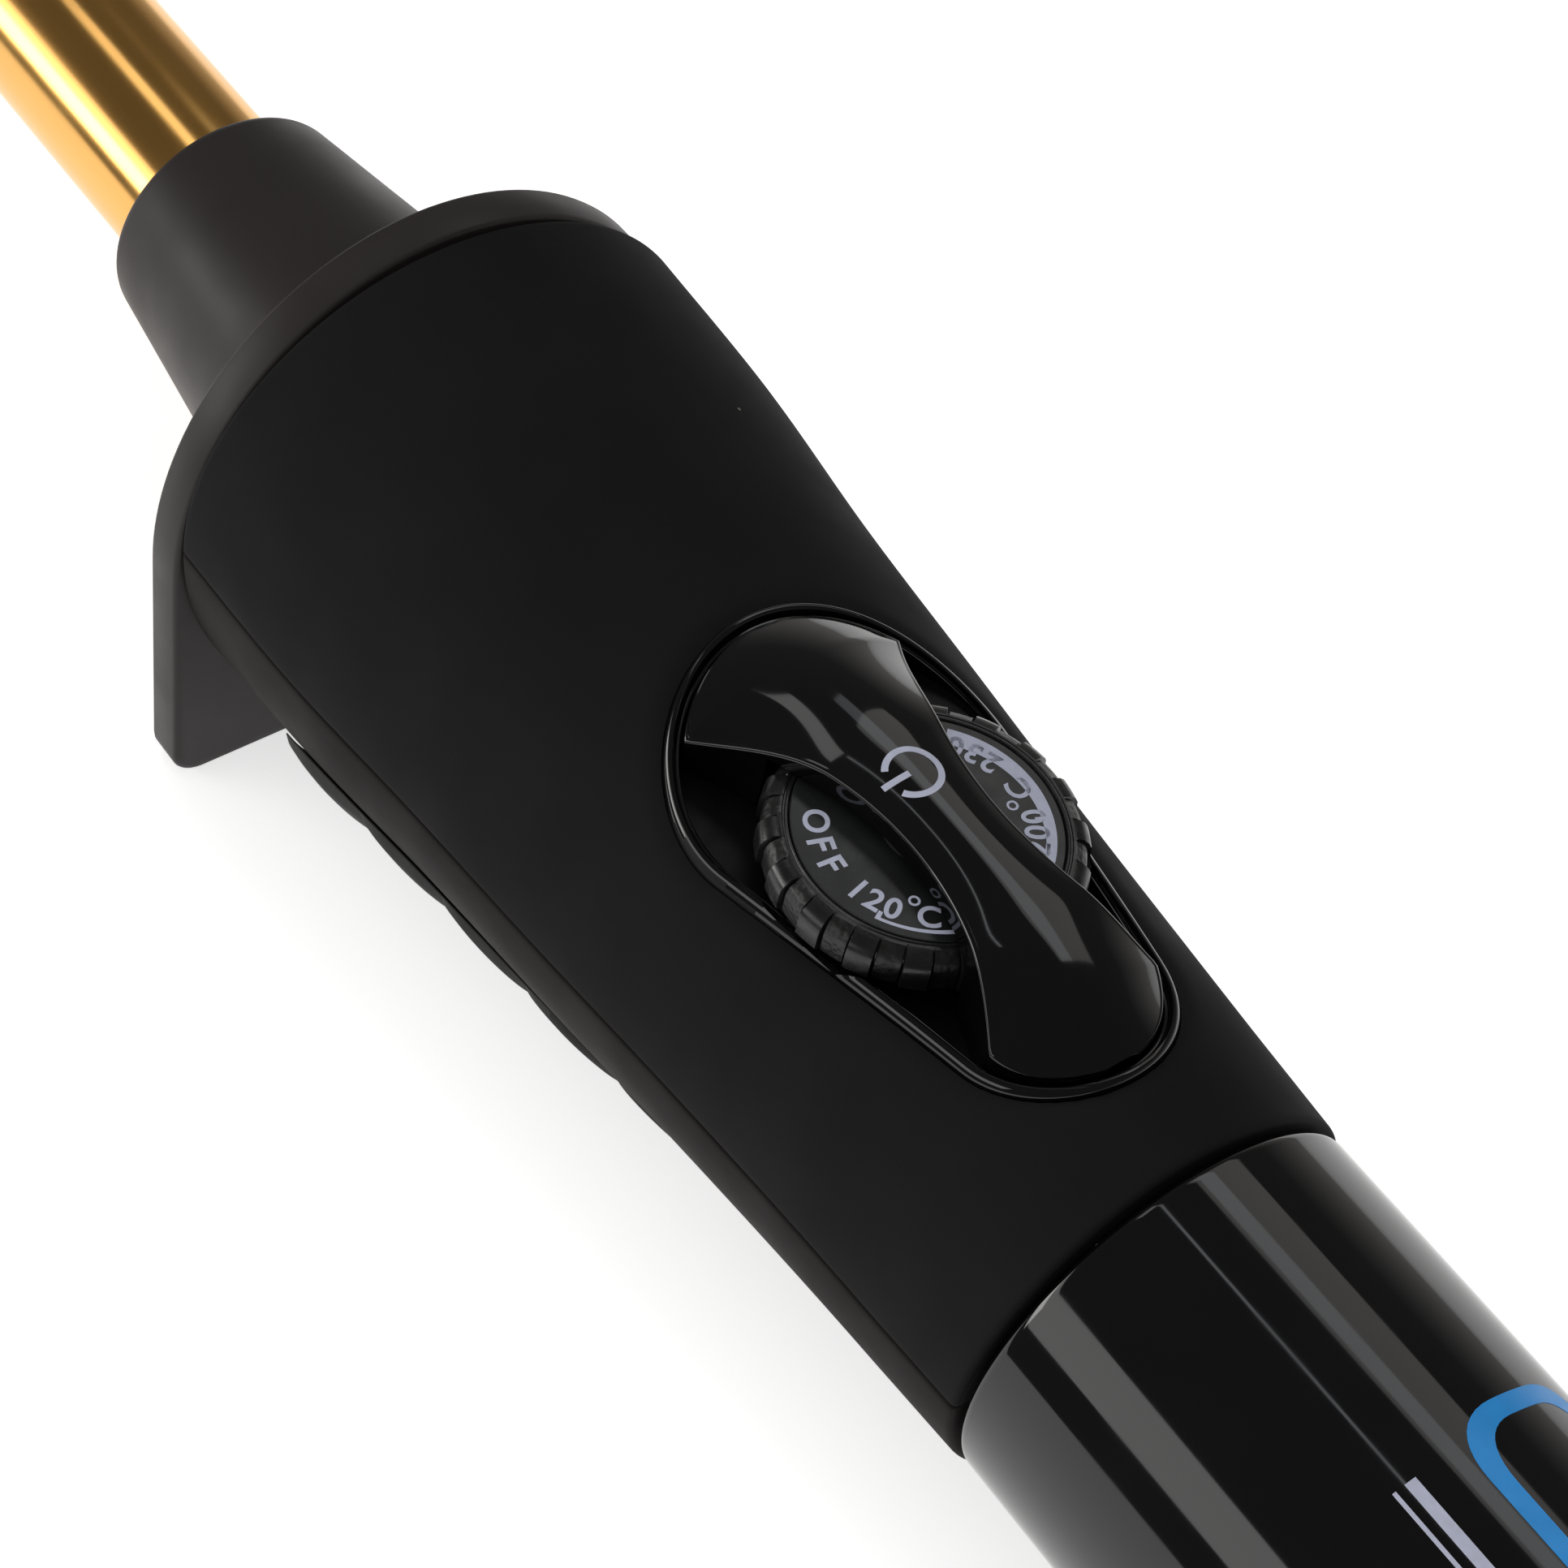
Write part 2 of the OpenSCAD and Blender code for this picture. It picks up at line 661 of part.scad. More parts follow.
module collar_plate() {
    color([0.2, 0.19, 0.18])
        difference() {
            union() {
                translate([plate_rear_x, 0, 0])
                    rotate([90, 0, 90])
                        linear_extrude(height = plate_t)
                            polygon(plate_outline());
                turned(concat(
                    [[0, barrel_rear_x], [collar_boss_r, barrel_rear_x], [collar_boss_r, plate_rear_x + 1],
                        [collar_rear_d / 2, plate_rear_x + 1], [collar_rear_d / 2, plate_front_x]],
                    [for (a = [0 : 15 : 90])
                        [collar_front_d / 2 - collar_rim_r + collar_rim_r * cos(a),
                            collar_front_x - collar_rim_r + collar_rim_r * sin(a)]],
                    [[0, collar_front_x]]));
                ring_x(spigot_rear_x, plate_rear_x + 1, plate_spigot_r, plate_spigot_r - plate_spigot_wall);
            }
            ring_x(barrel_rear_x - 1, collar_front_x + 1, neck_r + fit_gap, 0);
            ring_x(plate_rear_x, sleeve_front_x + fit_gap, sleeve_r, 0);
            barrel_screw_holes();
            below_table();
        }
}

module barrel_screws() {
    head_r = collar_boss_r + 0.02;
    color([0.7, 0.7, 0.72])
        for (side = [0, 1])
            mirror([0, 0, side])
                translate([barrel_screw_x, 0, 0]) {
                    translate([0, 0, neck_bore_r])
                        cylinder(r = small_screw_r, h = head_r - neck_bore_r, $fn = screw_sides);
                    translate([0, 0, head_r - eps])
                        cylinder(r = screw_r * 1.5, h = screw_head_h, $fn = screw_sides);
                }
}

// ---- Grip ----

shoulder_rear_x = 0.8;
shoulder_front_x = spigot_len / 2;

// The two half rings that join a shell to the rear tube, above or below the parting plane
module shell_spigot(side) {
    intersection() {
        union() {
            ring_x(-spigot_len, shoulder_front_x, spigot_r, spigot_r - spigot_wall);
            ring_x(shoulder_rear_x, shoulder_front_x, grip_rear_r - post_bite, spigot_r - spigot_wall);
        }
        translate([-spigot_len * 2, -tube_r, side > 0 ? fit_gap : -tube_r - fit_gap])
            cube([spigot_len * 4, tube_d, tube_r]);
    }
}

// Posts for the handle's screws, from the parting line to inside the wall
module upper_posts() {
    for (p = handle_screw_places)
        translate([p.x, p.y, parting_z(p.x) + fit_gap])
            cylinder(r = handle_post_r, $fn = screw_sides,
                h = grip_z(p.x, abs(p.y) + handle_post_r) - post_bite - parting_z(p.x));
}

module lower_posts() {
    for (p = handle_screw_places) {
        foot_z = grip_under(p.x, abs(p.y) + handle_post_r) + post_bite;
        translate([p.x, p.y, foot_z])
            cylinder(r = handle_post_r, h = parting_z(p.x) - fit_gap - foot_z, $fn = screw_sides);
    }
}

// Posts that hang from the upper shell and carry the front of the circuit board
board_post_r = 2.6;
board_screw_len = 7;
board_post_h = grip_z(dial_x + board_post_x, board_post_y + board_post_r) - post_bite
    - (dial_z - board_depth + board_post_x * sin(dial_tilt));

module board_posts() {
    dial_frame()
        for (s = [-1, 1])
            translate([board_post_x, s * board_post_y, board_top_z])
                cylinder(r = board_post_r, h = board_post_h, $fn = screw_sides);
}

module upper_shell() {
    color([0.11, 0.11, 0.115])
        difference() {
            union() {
                skin([for (x = grip_stations) half_ring(x, 0, shell_wall)], banded = true);
                shell_spigot(1);
                upper_posts();
                board_posts();
            }
            translate([0, 0, -eps])
                linear_extrude(height = tube_d)
                    polygon(oval(-fit_gap));
            dial_space(under_dial);
            for (p = handle_screw_places)
                translate([p.x, p.y, 0])
                    cylinder(r = screw_r + fit_gap, h = parting_z(p.x) + handle_thread_len + 2, $fn = screw_sides);
            dial_frame()
                for (s = [-1, 1])
                    translate([board_post_x, s * board_post_y, board_top_z - 1])
                        cylinder(r = screw_r + fit_gap, h = board_screw_len + 1, $fn = screw_sides);
        }
}

module lower_shell() {
    color([0.16, 0.15, 0.145])
        difference() {
            union() {
                skin([for (x = grip_stations) half_ring(x, 180, shell_wall)], banded = true);
                shell_spigot(-1);
                lower_posts();
            }
            for (p = handle_screw_places)
                translate([p.x, p.y, 0]) {
                    translate([0, 0, -tube_d])
                        cylinder(r = screw_r + fit_gap, h = tube_d + handle_thread_len + 2, $fn = screw_sides);
                    translate([0, 0, -tube_d])
                        cylinder(r = screw_head_r + handle_head_gap, h = tube_d + handle_head_z, $fn = screw_sides);
                }
        }
}

module handle_screws() {
    color([0.6, 0.6, 0.62])
        for (p = handle_screw_places)
            translate([p.x, p.y, handle_head_z])
                screw(parting_z(p.x) + handle_thread_len - handle_head_z);
}

pad_steps = 18;
pad_lip = 0.1;
pad_edge_power = 0.3;
pad_stations = [for (i = [0 : pad_humps * 6]) pad_start + i * hump_pitch / 6];

// Thickness of the pad at station x: one half wave for each finger
function pad_thickness(x) =
    pad_base + (hump_h - pad_base) * sqrt(abs(sin((x - pad_start) / hump_pitch * 180)));

// Angle below the side of the pad's edge at station x
function pad_angle(x) =
    let(behind = 1 - (x - pad_start) / (pad_humps * hump_pitch))
    pad_front_angle + (pad_rear_angle - pad_front_angle) * behind * behind;

function pad_ring(x) =
    let(
        first = 180 + pad_angle(x),
        step = (180 - 2 * pad_angle(x)) / pad_steps,
        edge = function (i) pow(sin(180 * i / pad_steps), pad_edge_power)
    )
    concat(
        [for (i = [0 : pad_steps]) grip_point(x, first + i * step, -pad_gap - pad_lip - pad_thickness(x) * edge(i))],
        [for (i = [pad_steps : -1 : 0]) grip_point(x, first + i * step, -pad_gap)]);

module finger_pad() {
    color([0.13, 0.125, 0.12])
        skin([for (x = pad_stations) pad_ring(x)], banded = true);
}

// ---- Dial, its tray and its bridge ----

module dial_tray() {
    floor_z = dial_z + tray_floor_z - tray_floor_t;
    color([0.06, 0.06, 0.06])
        difference() {
            intersection() {
                translate([0, 0, floor_z - 1.5])
                    linear_extrude(height = tube_d)
                        polygon(oval(0));
                grip_solid(-rim_proud);
            }
            dial_frame()
                translate([0, 0, tray_floor_z])
                    linear_extrude(height = tube_d)
                        translate([-dial_x, 0])
                            polygon(oval(tray_wall));
            dial_frame()
                translate([-dial_x, -tube_r, -tube_d])
                    translate([0, 0, tray_floor_z - tray_floor_t])
                        cube([grip_len, tube_d, tube_d]);
            dial_space(under_dial);
            dial_frame()
                translate([0, 0, -tube_r])
                    cylinder(r = bush_r + bush_gap, h = tube_r, $fn = 48);
            bridge_screw_holes();
        }
}

// Stations of the bridge, between the ends of the oval
bridge_inset = tray_wall + bridge_gap;
bridge_rear_x = rear_c - (rear_r - bridge_inset) + bridge_gap;
bridge_front_x = front_c + (front_r - bridge_inset) - bridge_gap;
waist_x = dial_x - 2.5;
bridge_mid_x = (bridge_rear_x + bridge_front_x) / 2;
bridge_reach = (bridge_front_x - bridge_rear_x) / 2;
crown_drop = 0.15;
bridge_stations = [for (i = [0 : 32])
    bridge_rear_x + (bridge_front_x - bridge_rear_x) * (1 - cos(i * 180 / 32)) / 2];
bridge_steps = 10;

function bridge_half(x) =
    min(oval_half(x, bridge_inset), bridge_waist + bridge_flare * pow(x - waist_x, 2));

// Rise of the bridge above the grip: along its middle a plain arch, along its edges a flatter one that
// runs out sooner, so that both ends are domed
function middle_lift(x) = bridge_rise * (1 - pow(abs(x - bridge_mid_x) / bridge_reach, 3));
function edge_lift(x) =
    bridge_rise * (1 - crown_drop) * smooth(x, bridge_rear_x + 2, dial_x - dial_r + 1.4)
    * (1 - smooth(x, dial_x + dial_r * 0.46, bridge_front_x - 3.5));
function bridge_z(x, y) =
    let(share = y / max(0.01, bridge_half(x)), edge = edge_lift(x))
    grip_z(x, y) + edge + (middle_lift(x) - edge) * (1 - share * share);
bridge_foot_z = dial_z + tray_floor_z + 1;

function bridge_ring(x) = concat(
    [for (i = [0 : bridge_steps])
        let(y = bridge_half(x) * cos(i * 180 / bridge_steps)) [x, y, bridge_z(x, y)]],
    [[x, -bridge_half(x), bridge_foot_z], [x, bridge_half(x), bridge_foot_z]]);

bridge_screw_places = [front_c + front_r - 5, rear_c - rear_r + 4];

module bridge_screw_holes() {
    for (x = bridge_screw_places)
        translate([x, 0, dial_z - tube_r])
            cylinder(r = small_screw_r + fit_gap, h = tube_r - 1.5, $fn = screw_sides);
}

module dial_bridge() {
    color([0.03, 0.03, 0.03])
        difference() {
            skin([for (x = bridge_stations) bridge_ring(x)]);
            dial_space(-tray_floor_z);
            bridge_screw_holes();
        }
}

module bridge_screws() {
    head_z = dial_z + tray_floor_z - tray_floor_t - 0.6;
    head_t = 1;
    shank_len = 4;
    color([0.6, 0.6, 0.62])
        for (x = bridge_screw_places)
            translate([x, 0, head_z + (x - dial_x) * tan(dial_tilt)]) {
                translate([0, 0, -head_t])
                    cylinder(r = screw_r * 1.4, h = head_t, $fn = screw_sides);
                translate([0, 0, -eps])
                    cylinder(r = small_screw_r, h = shank_len, $fn = screw_sides);
            }
}

// Outline of the toothed rim: raised lands and lower fields in turn
function rim_outline() = [
    for (i = [0 : dial_teeth - 1])
        let(step = 360 / dial_teeth, low = dial_r - tooth_h)
            for (c = [[-0.25, low], [-0.23, dial_r], [0.23, dial_r], [0.25, low], [0.5, low]])
                [c.y * cos((i + c.x) * step), c.y * sin((i + c.x) * step)]
];

module temperature_dial() {
    web_t = 2;
    rim_w = 2;
    rim_drop = 0.1;
    color([0.09, 0.09, 0.09])
        dial_frame()
            difference() {
                union() {
                    translate([0, 0, -dial_rim_t])
                        linear_extrude(height = dial_rim_t - rim_drop)
                            polygon(rim_outline());
                    translate([0, 0, tray_floor_z + dial_gap])
                        cylinder(r = hub_r, h = -tray_floor_z - dial_gap - 1);
                }
                translate([0, 0, -label_t])
                    cylinder(r = label_r + fit_gap, h = 2);
                difference() {
                    translate([0, 0, -dial_rim_t - 1])
                        cylinder(r = dial_r - rim_w, h = dial_rim_t + 1 - web_t);
                    translate([0, 0, -tube_r])
                        cylinder(r = hub_r, h = tube_d);
                }
                translate([0, 0, -tube_r])
                    cylinder(r = shaft_r + fit_gap, h = tube_r - shaft_top_depth);
            }
}

module dial_label() {
    color([0.2, 0.2, 0.22])
        dial_frame()
            translate([0, 0, -label_t])
                cylinder(r = label_r, h = label_t);
}

pot_floor_t = 1;
shaft_foot_gap = 0.4;

module potentiometer() {
    color([0.45, 0.47, 0.5])
        dial_frame()
            difference() {
                union() {
                    translate([0, 0, board_top_z])
                        cylinder(r = pot_d / 2, h = pot_h);
                    translate([0, 0, board_top_z + pot_h - eps])
                        cylinder(r = bush_r, h = tray_floor_z - board_top_z - pot_h - bush_gap);
                }
                translate([0, 0, board_top_z + pot_floor_t])
                    cylinder(r = shaft_r + running_gap, h = board_depth);
            }
}

module potentiometer_shaft() {
    color([0.78, 0.78, 0.8])
        dial_frame()
            translate([0, 0, board_top_z + pot_floor_t + shaft_foot_gap])
                cylinder(r = shaft_r, h = board_depth - pot_floor_t - shaft_foot_gap - shaft_top_depth - part_gap);
}

// ---- Circuit board ----

module circuit_board() {
    color([0.1, 0.35, 0.2])
        dial_frame()
            difference() {
                translate([board_rear, -board_w / 2, board_top_z - board_t])
                    cube([board_len, board_w, board_t - 0.02]);
                for (s = [-1, 1])
                    translate([board_post_x, s * board_post_y, board_top_z - 3])
                        cylinder(r = screw_r + fit_gap, h = 6, $fn = screw_sides);
            }
}

module triac() {
    body = [9, 10, 4.4];
    tab = [6.5, 10, 1.3];
    body_x = pot_d / 2 + 7;
    color([0.1, 0.1, 0.1])
        dial_frame() {
            block(body, [body_x, 0, board_top_z]);
            block(tab, [body_x + (body.x + tab.x) / 2 - part_gap, 0, board_top_z]);
        }
}

module film_capacitor() {
    body = [13, 6, 8.5];
    color([0.75, 0.62, 0.2])
        dial_frame()
            block(body, [board_front - 14.5, -7.5, board_top_z]);
}

module electrolytic_capacitor() {
    can_r = 4;
    can_h = 9;
    color([0.15, 0.18, 0.4])
        dial_frame()
            translate([board_front - 13, 7.5, board_top_z])
                cylinder(r = can_r, h = can_h, $fn = 48);
}

module control_chip() {
    body = [9.8, 6.2, 2];
    color([0.08, 0.08, 0.08])
        dial_frame()
            block(body, [pot_d / 2 + 16, 0, board_under_z - body.z]);
}

module resistors() {
    body_r = 1.2;
    half_len = 4;
    pitch = 4;
    z = board_under_z - body_r - part_gap;
    color([0.75, 0.7, 0.55])
        dial_frame()
            for (i = [-1 : 1])
                rod([i * pitch, -half_len, z], [i * pitch, half_len, z], body_r);
}

module board_screws() {
    color([0.7, 0.7, 0.72])
        dial_frame()
            for (s = [-1, 1])
                translate([board_post_x, s * board_post_y, board_under_z])
                    screw(board_screw_len);
}

module supply_leads() {
    end_x = dial_x + board_rear + 8;
    under_z = dial_z - board_depth - board_t + (end_x - dial_x) * sin(dial_tilt);
    color([0.45, 0.3, 0.2])
        for (s = [-1, 1])
            wire([[carrier_front_x + part_gap, s * 8.4, -8.4], [-spigot_len, s * 3.4, -6],
                [end_x - 8, s * 3.4, -4], [end_x, s * 3.4, under_z - power_wire_r - 0.1]], power_wire_r);
}

// ---- Rear tube and swivel ----

cap_plug_len = 8;
cap_wall_front_x = tube_rear_x + cap_plug_len;
swivel_r = swivel_d / 2;
clip_t = 1;
clip_x = cap_wall_front_x + 0.3;
clip_groove_r = swivel_r - 1;
spindle_r = swivel_r - 2;
slip_ring_r = spindle_r + 1;
slip_ring_w = 4;
slip_ring_pitch = 8;
slip_ring_places = [for (i = [0, 1]) clip_x + clip_t + 4 + i * slip_ring_pitch];
spindle_front_x = slip_ring_places[1] + slip_ring_w + 3;
carrier_front_x = spindle_front_x + 1;
leaf_room = 4.5;
carrier_bore_r = slip_ring_r + leaf_room;

module rear_tube() {
    color([0.03, 0.03, 0.035])
        ring_x(tube_rear_x, -seam_gap, tube_r, tube_bore_r);
}

module rear_cap() {
    bore_r = swivel_r + running_gap;
    color([0.04, 0.04, 0.045])
        turned(concat(
            [[bore_r, cap_rear_x]],
            [for (a = [0 : 9 : 90])
                [tube_r - cap_round + cap_round * sin(a), cap_rear_x + cap_round - cap_round * cos(a)]],
            [[tube_r, tube_rear_x - part_gap], [spigot_r, tube_rear_x - part_gap], [spigot_r, cap_wall_front_x],
                [bore_r, cap_wall_front_x]]));
}

module cord_outlet() {
    end_x = cap_rear_x - outlet_len;
    mouth_r = cord_bore_d / 2;
    mouth_wall = 1.8;
    flange_r = swivel_r + 3.4;
    flange_front_x = cap_rear_x - 0.4;
    color([0.05, 0.05, 0.05])
        turned([
            [mouth_r, end_x], [mouth_r + mouth_wall, end_x], [mouth_r + mouth_wall + 0.5, end_x + 0.8],
            [swivel_r + 1.6, flange_front_x - 4.6], [flange_r, flange_front_x - 3.2],
            [flange_r, flange_front_x - 0.4], [flange_r - 0.4, flange_front_x], [swivel_r, flange_front_x],
            [swivel_r, clip_x], [clip_groove_r, clip_x], [clip_groove_r, clip_x + clip_t],
            [spindle_r, clip_x + clip_t], [spindle_r, spindle_front_x], [0, spindle_front_x],
            [0, end_x + cord_bore_len], [mouth_r, end_x + cord_bore_len]]);
}

module slip_rings() {
    color([0.8, 0.6, 0.25])
        for (x = slip_ring_places)
            ring_x(x, x + slip_ring_w, slip_ring_r, spindle_r + fit_gap);
}

module retaining_clip() {
    clip_r = swivel_r + 2.2;
    mouth_w = clip_groove_r * 1.4;
    color([0.6, 0.6, 0.62])
        difference() {
            ring_x(clip_x + part_gap, clip_x + clip_t - part_gap, clip_r, clip_groove_r + fit_gap);
            translate([clip_x - 1, -mouth_w / 2, 0])
                cube([clip_t + 2, mouth_w, swivel_d]);
        }
}

module contact_carrier() {
    color([0.85, 0.84, 0.8])
        ring_x(slip_ring_places[0] - 2, carrier_front_x, tube_bore_r - fit_gap, carrier_bore_r);
}

// Leaf contacts: each goes from the carrier's bore down to just above its slip ring
module contact_springs() {
    leaf_t = 0.35;
    leaf_w = 2.5;
    tip_z = slip_ring_r + 0.3;
    root_y = carrier_bore_r * 0.62;
    root_z = carrier_bore_r * 0.76;
    color([0.8, 0.62, 0.3])
        for (x = slip_ring_places)
            translate([x + (slip_ring_w - leaf_w) / 2, 0, 0])
                rotate([90, 0, 90])
                    linear_extrude(height = leaf_w)
                        polygon([
                            [-root_y, root_z - leaf_t], [-2, tip_z], [2.4, tip_z], [2.4, tip_z + leaf_t],
                            [-2, tip_z + leaf_t], [-root_y, root_z]]);
}

at_rest() barrel();
at_rest() barrel_tip();
at_rest() insulating_sleeve();
at_rest() heater_block_upper();
at_rest() heater_block_lower();
at_rest() ptc_plates();
at_rest() electrode_strips();
at_rest() insulating_film();
at_rest() spreader_spring();
at_rest() thermistor();
at_rest() thermal_fuse();
at_rest() heater_leads();
at_rest() sensor_leads();
at_rest() collar_plate();
at_rest() barrel_screws();
at_rest() upper_shell();
at_rest() lower_shell();
at_rest() finger_pad();
at_rest() handle_screws();
at_rest() dial_tray();
at_rest() dial_bridge();
at_rest() bridge_screws();
at_rest() temperature_dial();
at_rest() dial_label();
at_rest() potentiometer();
at_rest() potentiometer_shaft();
at_rest() circuit_board();
at_rest() triac();
at_rest() film_capacitor();
at_rest() electrolytic_capacitor();
at_rest() control_chip();
at_rest() resistors();
at_rest() board_screws();
at_rest() supply_leads();
at_rest() rear_tube();
at_rest() rear_cap();
at_rest() cord_outlet();
at_rest() slip_rings();
at_rest() retaining_clip();
at_rest() contact_carrier();
at_rest() contact_springs();
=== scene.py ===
# Looks of the curling iron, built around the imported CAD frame.
# Shapes are worked out in millimetres in the tool's own frame: +X along the axis towards the barrel's
# tip, +Z up on the dial's side, origin on the axis where the grip meets the rear tube. The frame's two
# joints say where that frame and the dial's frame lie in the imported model.
import json
import math

import bmesh
import bpy
from mathutils import Matrix, Vector


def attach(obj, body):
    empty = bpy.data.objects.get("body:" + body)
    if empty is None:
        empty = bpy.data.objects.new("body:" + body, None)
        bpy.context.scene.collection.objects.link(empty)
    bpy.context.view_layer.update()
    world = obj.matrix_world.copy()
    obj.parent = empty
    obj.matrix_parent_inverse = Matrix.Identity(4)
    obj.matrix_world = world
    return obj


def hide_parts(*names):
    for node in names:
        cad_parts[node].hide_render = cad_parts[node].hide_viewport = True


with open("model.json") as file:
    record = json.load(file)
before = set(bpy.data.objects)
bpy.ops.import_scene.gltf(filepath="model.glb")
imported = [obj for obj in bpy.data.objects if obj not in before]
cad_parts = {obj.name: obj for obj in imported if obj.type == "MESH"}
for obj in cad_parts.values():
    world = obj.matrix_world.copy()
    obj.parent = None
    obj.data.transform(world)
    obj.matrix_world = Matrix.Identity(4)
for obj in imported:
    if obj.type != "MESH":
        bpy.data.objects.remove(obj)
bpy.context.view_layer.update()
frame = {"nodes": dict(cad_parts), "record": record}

MM = 0.001

# ---- Sizes, as in the part's source (mm) ----

BARREL_R = 8
NECK_R = 7
BARREL_FRONT_X = 275.9
TIP_FRONT_X = 293.9
TIP_SPIGOT = 9
BARREL_WALL = 0.8
COLLAR_FRONT_X = 125.9
COLLAR_FRONT_R = 10.9
COLLAR_REAR_R = 14.8
PLATE_REAR_X = 92.2
PLATE_T = 3.8
PLATE_HALF = 24.3
PLATE_TOP = 25.1
PLATE_ARCH_Z = -1.7
FOOT_DEPTH = 25.3
FOOT_CORNER_R = 2.5

GRIP_LEN = PLATE_REAR_X
GRIP_REAR_R = 17.3
GRIP_FRONT_SIDE = 23.9
GRIP_FRONT_TOP = 24.8
GRIP_FRONT_BOTTOM = 23.6
SIDE_GROWTH = [0, 0.12, 0.3, 0.52, 0.71, 0.93, 1]
TOP_GROWTH = [0, 0.2, 0.29, 0.36, 0.5, 0.8, 1]
BOTTOM_GROWTH = [0, 0.1, 0.19, 0.29, 0.4, 0.64, 1]
SHELL_WALL = 2
SPIGOT_LEN = 9
PARTING_RISE = 0.03

PAD_START = 31
PAD_HUMPS = 5
HUMP_PITCH = 9.7
HUMP_H = 1.6
PAD_BASE = 0.5
PAD_GAP = 0.15
PAD_FRONT_ANGLE = 25
PAD_REAR_ANGLE = 46
PAD_EDGE_POWER = 0.3

DIAL_X = 30.5
DIAL_R = 11.9
DIAL_RIM_T = 3.4
DIAL_GAP = 0.35
DIAL_TEETH = 18
TOOTH_H = 0.35
LABEL_R = 9.8
TRAY_FLOOR = -5.0
FRONT_C = 39.0
FRONT_R = 13.5
REAR_C = 16.1
REAR_R = 9.2
TRAY_WALL = 1.2
RIM_PROUD = 0.25
BRIDGE_INSET = 1.35
BRIDGE_WAIST = 3.75
BRIDGE_FLARE = 0.0178
BRIDGE_RISE = 3.5
CROWN_DROP = 0.15
BRIDGE_WAIST_X = DIAL_X - 2.5

TUBE_R = 17
TUBE_WALL = 2
TUBE_REAR_X = -80
SEAM_GAP = 0.4
CAP_REAR_X = -88
CAP_ROUND = 6
SWIVEL_R = 6
CORD_R = 3.4
OUTLET_LEN = 18

SCREW_HEAD_R = 1.98
SCREW_HEAD_Z = -TUBE_R * 0.55
SCREW_PLACES = [(SPIGOT_LEN, TUBE_R * 0.52), (PLATE_REAR_X - 11, PLATE_HALF * 2 * 0.27)]


# ---- The two frames ----

def frame_matrix(x_axis, y_axis, z_axis, origin):
    """Matrix from millimetres along three axes to metres in the model."""
    columns = [x_axis * MM, y_axis * MM, z_axis * MM, origin]
    return Matrix([[c[row] for c in columns] for row in range(3)] + [[0, 0, 0, 1]])


joints = {joint["name"]: joint for joint in frame["record"]["behaviour"]["joints"]}
LEFT = Vector((0, 1, 0))
axis_x = Vector(joints["cord_swivel"]["axis"]).normalized()
axis_z = axis_x.cross(LEFT)
tool = frame_matrix(axis_x, LEFT, axis_z, Vector(joints["cord_swivel"]["pos_m"]) - axis_x * CAP_REAR_X * MM)
dial_z_axis = Vector(joints["dial_turn"]["axis"]).normalized()
dial_frame = frame_matrix(LEFT.cross(dial_z_axis), LEFT, dial_z_axis, Vector(joints["dial_turn"]["pos_m"]))
tool_from_dial = tool.inverted() @ dial_frame


# ---- Curves that shape the grip ----

def clamp(v, low=0.0, high=1.0):
    return max(low, min(high, v))


def smooth_step(v, low, high):
    t = clamp((v - low) / (high - low))
    return t * t * (3 - 2 * t)


def growth_slope(values, i):
    if i == 0:
        return values[1] - values[0]
    if i == len(values) - 1:
        return values[i] - values[i - 1]
    return (values[i + 1] - values[i - 1]) / 2


def growth(values, t):
    """Smooth curve through evenly spaced values, with t from 0 to 1 along the list."""
    s = clamp(t, 0, 0.999999) * (len(values) - 1)
    i = int(s)
    u = s - i
    return ((2 * u**3 - 3 * u**2 + 1) * values[i] + (u**3 - 2 * u**2 + u) * growth_slope(values, i)
            + (3 * u**2 - 2 * u**3) * values[i + 1] + (u**3 - u**2) * growth_slope(values, i + 1))


def parting_z(x):
    return PARTING_RISE * max(0, x - SPIGOT_LEN)


def grip_side(x):
    return GRIP_REAR_R + (GRIP_FRONT_SIDE - GRIP_REAR_R) * growth(SIDE_GROWTH, x / GRIP_LEN)


def grip_top(x):
    return GRIP_REAR_R + (GRIP_FRONT_TOP - GRIP_REAR_R) * growth(TOP_GROWTH, x / GRIP_LEN)


def grip_bottom(x):
    return GRIP_REAR_R + (GRIP_FRONT_BOTTOM - GRIP_REAR_R) * growth(BOTTOM_GROWTH, x / GRIP_LEN)


def grip_point(x, angle, inset):
    """Point of the grip's surface at a station and an angle around, moved inwards by inset."""
    zc = parting_z(x)
    tall = grip_top(x) - zc if math.sin(angle) >= 0 else grip_bottom(x) + zc
    return (x, (grip_side(x) - inset) * math.cos(angle), zc + (tall - inset) * math.sin(angle))


def grip_z(x, y):
    zc = parting_z(x)
    share = min(1, abs(y) / grip_side(x))
    return zc + (grip_top(x) - zc) * math.sqrt(1 - share * share)


# ---- The oval of the dial's housing ----

LEAN = math.asin((FRONT_R - REAR_R) / (FRONT_C - REAR_C))


